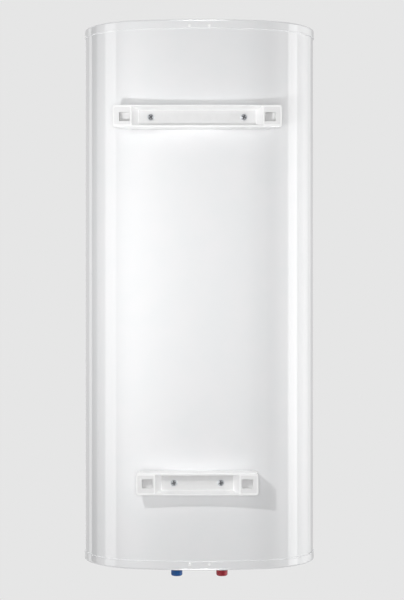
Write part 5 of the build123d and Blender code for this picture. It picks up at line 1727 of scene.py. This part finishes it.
    def glossy_air(self, tree: NodeTree, parts: NodeOutputs) -> Socket:
        """Tall strips and a glow at eye level, between a ceiling and a ground, with two rim lamps.

        Args:
            tree: The world's node tree.
            parts: The direction's X, Y and Z.

        Returns:
            The brightness.
        """
        bearing = add_node(tree, "ShaderNodeMath", {0: parts["X"], 1: parts["Y"]}, operation="ARCTAN2")
        turn = {"Value": bearing.outputs["Value"], "From Min": -math.pi, "From Max": math.pi}
        turn = add_node(tree, "ShaderNodeMapRange", turn).outputs["Result"]
        strips = self.round_the_compass(tree, turn, self.strips)
        glow = self.round_the_compass(tree, turn, self.glow)
        height = add_node(tree, "ShaderNodeMath", {0: parts["Z"]}, operation="ABSOLUTE").outputs[0]
        fade = {"Value": height, "From Min": self.glow_fade[1], "From Max": self.glow_fade[0]}
        fade = add_node(tree, "ShaderNodeMapRange", fade, interpolation_type="SMOOTHSTEP").outputs["Result"]
        level = {0: glow, 1: fade, 2: strips}
        level = add_node(tree, "ShaderNodeMath", level, operation="MULTIPLY_ADD").outputs[0]
        for sign, tone in ((1, self.ceiling), (-1, self.ground)):
            near = {"Value": parts["Z"], "From Min": sign * self.overhead[0],
                    "From Max": sign * self.overhead[1]}
            near = add_node(tree, "ShaderNodeMapRange", near, interpolation_type="SMOOTHSTEP")
            level = add_node(tree, "ShaderNodeMix", {0: near.outputs[0], 2: level, 3: tone}).outputs[0]
        lamp = self.rim_lamp
        for part, dark, lit in self.rim_lamp_edges:
            near = {"Value": parts[part], "From Min": dark, "From Max": lit}
            near = add_node(tree, "ShaderNodeMapRange", near).outputs["Result"]
            lamp = add_node(tree, "ShaderNodeMath", {0: near, 1: lamp}, operation="MULTIPLY").outputs[0]
        return add_node(tree, "ShaderNodeMath", {0: level, 1: lamp}, operation="ADD").outputs[0]

    def build_world(self) -> None:
        """Even light for matt surfaces, studio strips for glossy ones, the backdrop for the camera."""
        world = bpy.data.worlds.new("studio_air")
        bpy.context.scene.world = world
        tree = empty_tree(world)
        way = add_node(tree, "ShaderNodeTexCoord").outputs["Generated"]
        parts = add_node(tree, "ShaderNodeSeparateXYZ", {"Vector": way}).outputs
        path = add_node(tree, "ShaderNodeLightPath").outputs
        pale = linear(self.backdrop)[0]
        level = self.matt_air(tree, parts)
        for ray, tone in (("Is Glossy Ray", self.glossy_air(tree, parts)), ("Is Camera Ray", pale),
                          ("Is Transmission Ray", pale)):
            level = add_node(tree, "ShaderNodeMix", {0: path[ray], 2: level, 3: tone}).outputs[0]
        air = add_node(tree, "ShaderNodeBackground", {"Color": (1.0,) * 4, "Strength": level})
        add_node(tree, "ShaderNodeOutputWorld", {"Surface": air.outputs[0]})

    def build_lamps(self) -> None:
        """A small key lamp near the rear, a soft fill behind the camera and a soft lamp for the front."""
        key = bpy.data.lights.new("key_lamp", "SPOT")
        key.energy = self.key_power
        key.shadow_soft_size = self.key_radius
        key.spot_size = math.radians(self.key_cone)
        key.spot_blend = 1.0
        self.hang(key, Vector(self.key_place), Vector((0, 0, self.key_place[2])))
        middle = centre_of("jacket")
        behind = Vector((0, self.camera_distance + self.fill_setback, self.camera_z))
        self.build_softbox("rear_fill", behind, middle, self.fill_width, self.fill_power)
        self.build_softbox("front_softbox", Vector(self.front_place), middle, self.front_width,
                           self.front_power)

    def hang(self, data: bpy.types.Light, place: Vector, target: Vector) -> Object:
        """Places a lamp so that it leaves no highlight of its own.

        Args:
            data: The lamp's settings, which give it its name.
            place: Where it stands.
            target: What it points at.

        Returns:
            The lamp.
        """
        lamp = linked(data.name, data)
        lamp.location = place
        lamp.rotation_euler = (target - place).to_track_quat("-Z", "Y").to_euler()
        lamp.visible_glossy = False
        return lamp

    def build_softbox(self, name: str, place: Vector, target: Vector, width: float, power: float) -> None:
        """A round soft lamp that the camera doesn't see.

        Args:
            name: Its name.
            place: Where it stands.
            target: What it points at.
            width: Its width.
            power: Its power, in watts.
        """
        data = bpy.data.lights.new(name, "AREA")
        data.shape = "DISK"
        data.size = width
        data.energy = power
        self.hang(data, place, target).visible_camera = False

    def build_camera(self) -> None:
        """The camera straight behind the heater, level with the body's middle."""
        data = bpy.data.cameras.new("camera")
        data.lens = self.lens
        data.shift_x, data.shift_y = self.shift
        camera = linked("camera", data)
        camera.location = (0, self.camera_distance, self.camera_z)
        camera.rotation_euler = (math.pi / 2, 0, math.pi)
        bpy.context.scene.camera = camera


def main() -> None:
    """Builds the heater's pieces and the studio in order."""
    logging.basicConfig(level=logging.INFO, format="%(name)s: %(message)s", stream=sys.stdout)
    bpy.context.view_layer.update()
    bpy.context.scene.view_settings.view_transform = "Standard"
    Studio().build()
    Casing(Oval()).build()
    WallBrackets().build()
    PipeConnections().build()
    CableEntry().build()
    ControlPanel().build()
    dress_inside()


if __name__ == "__main__":
    main()
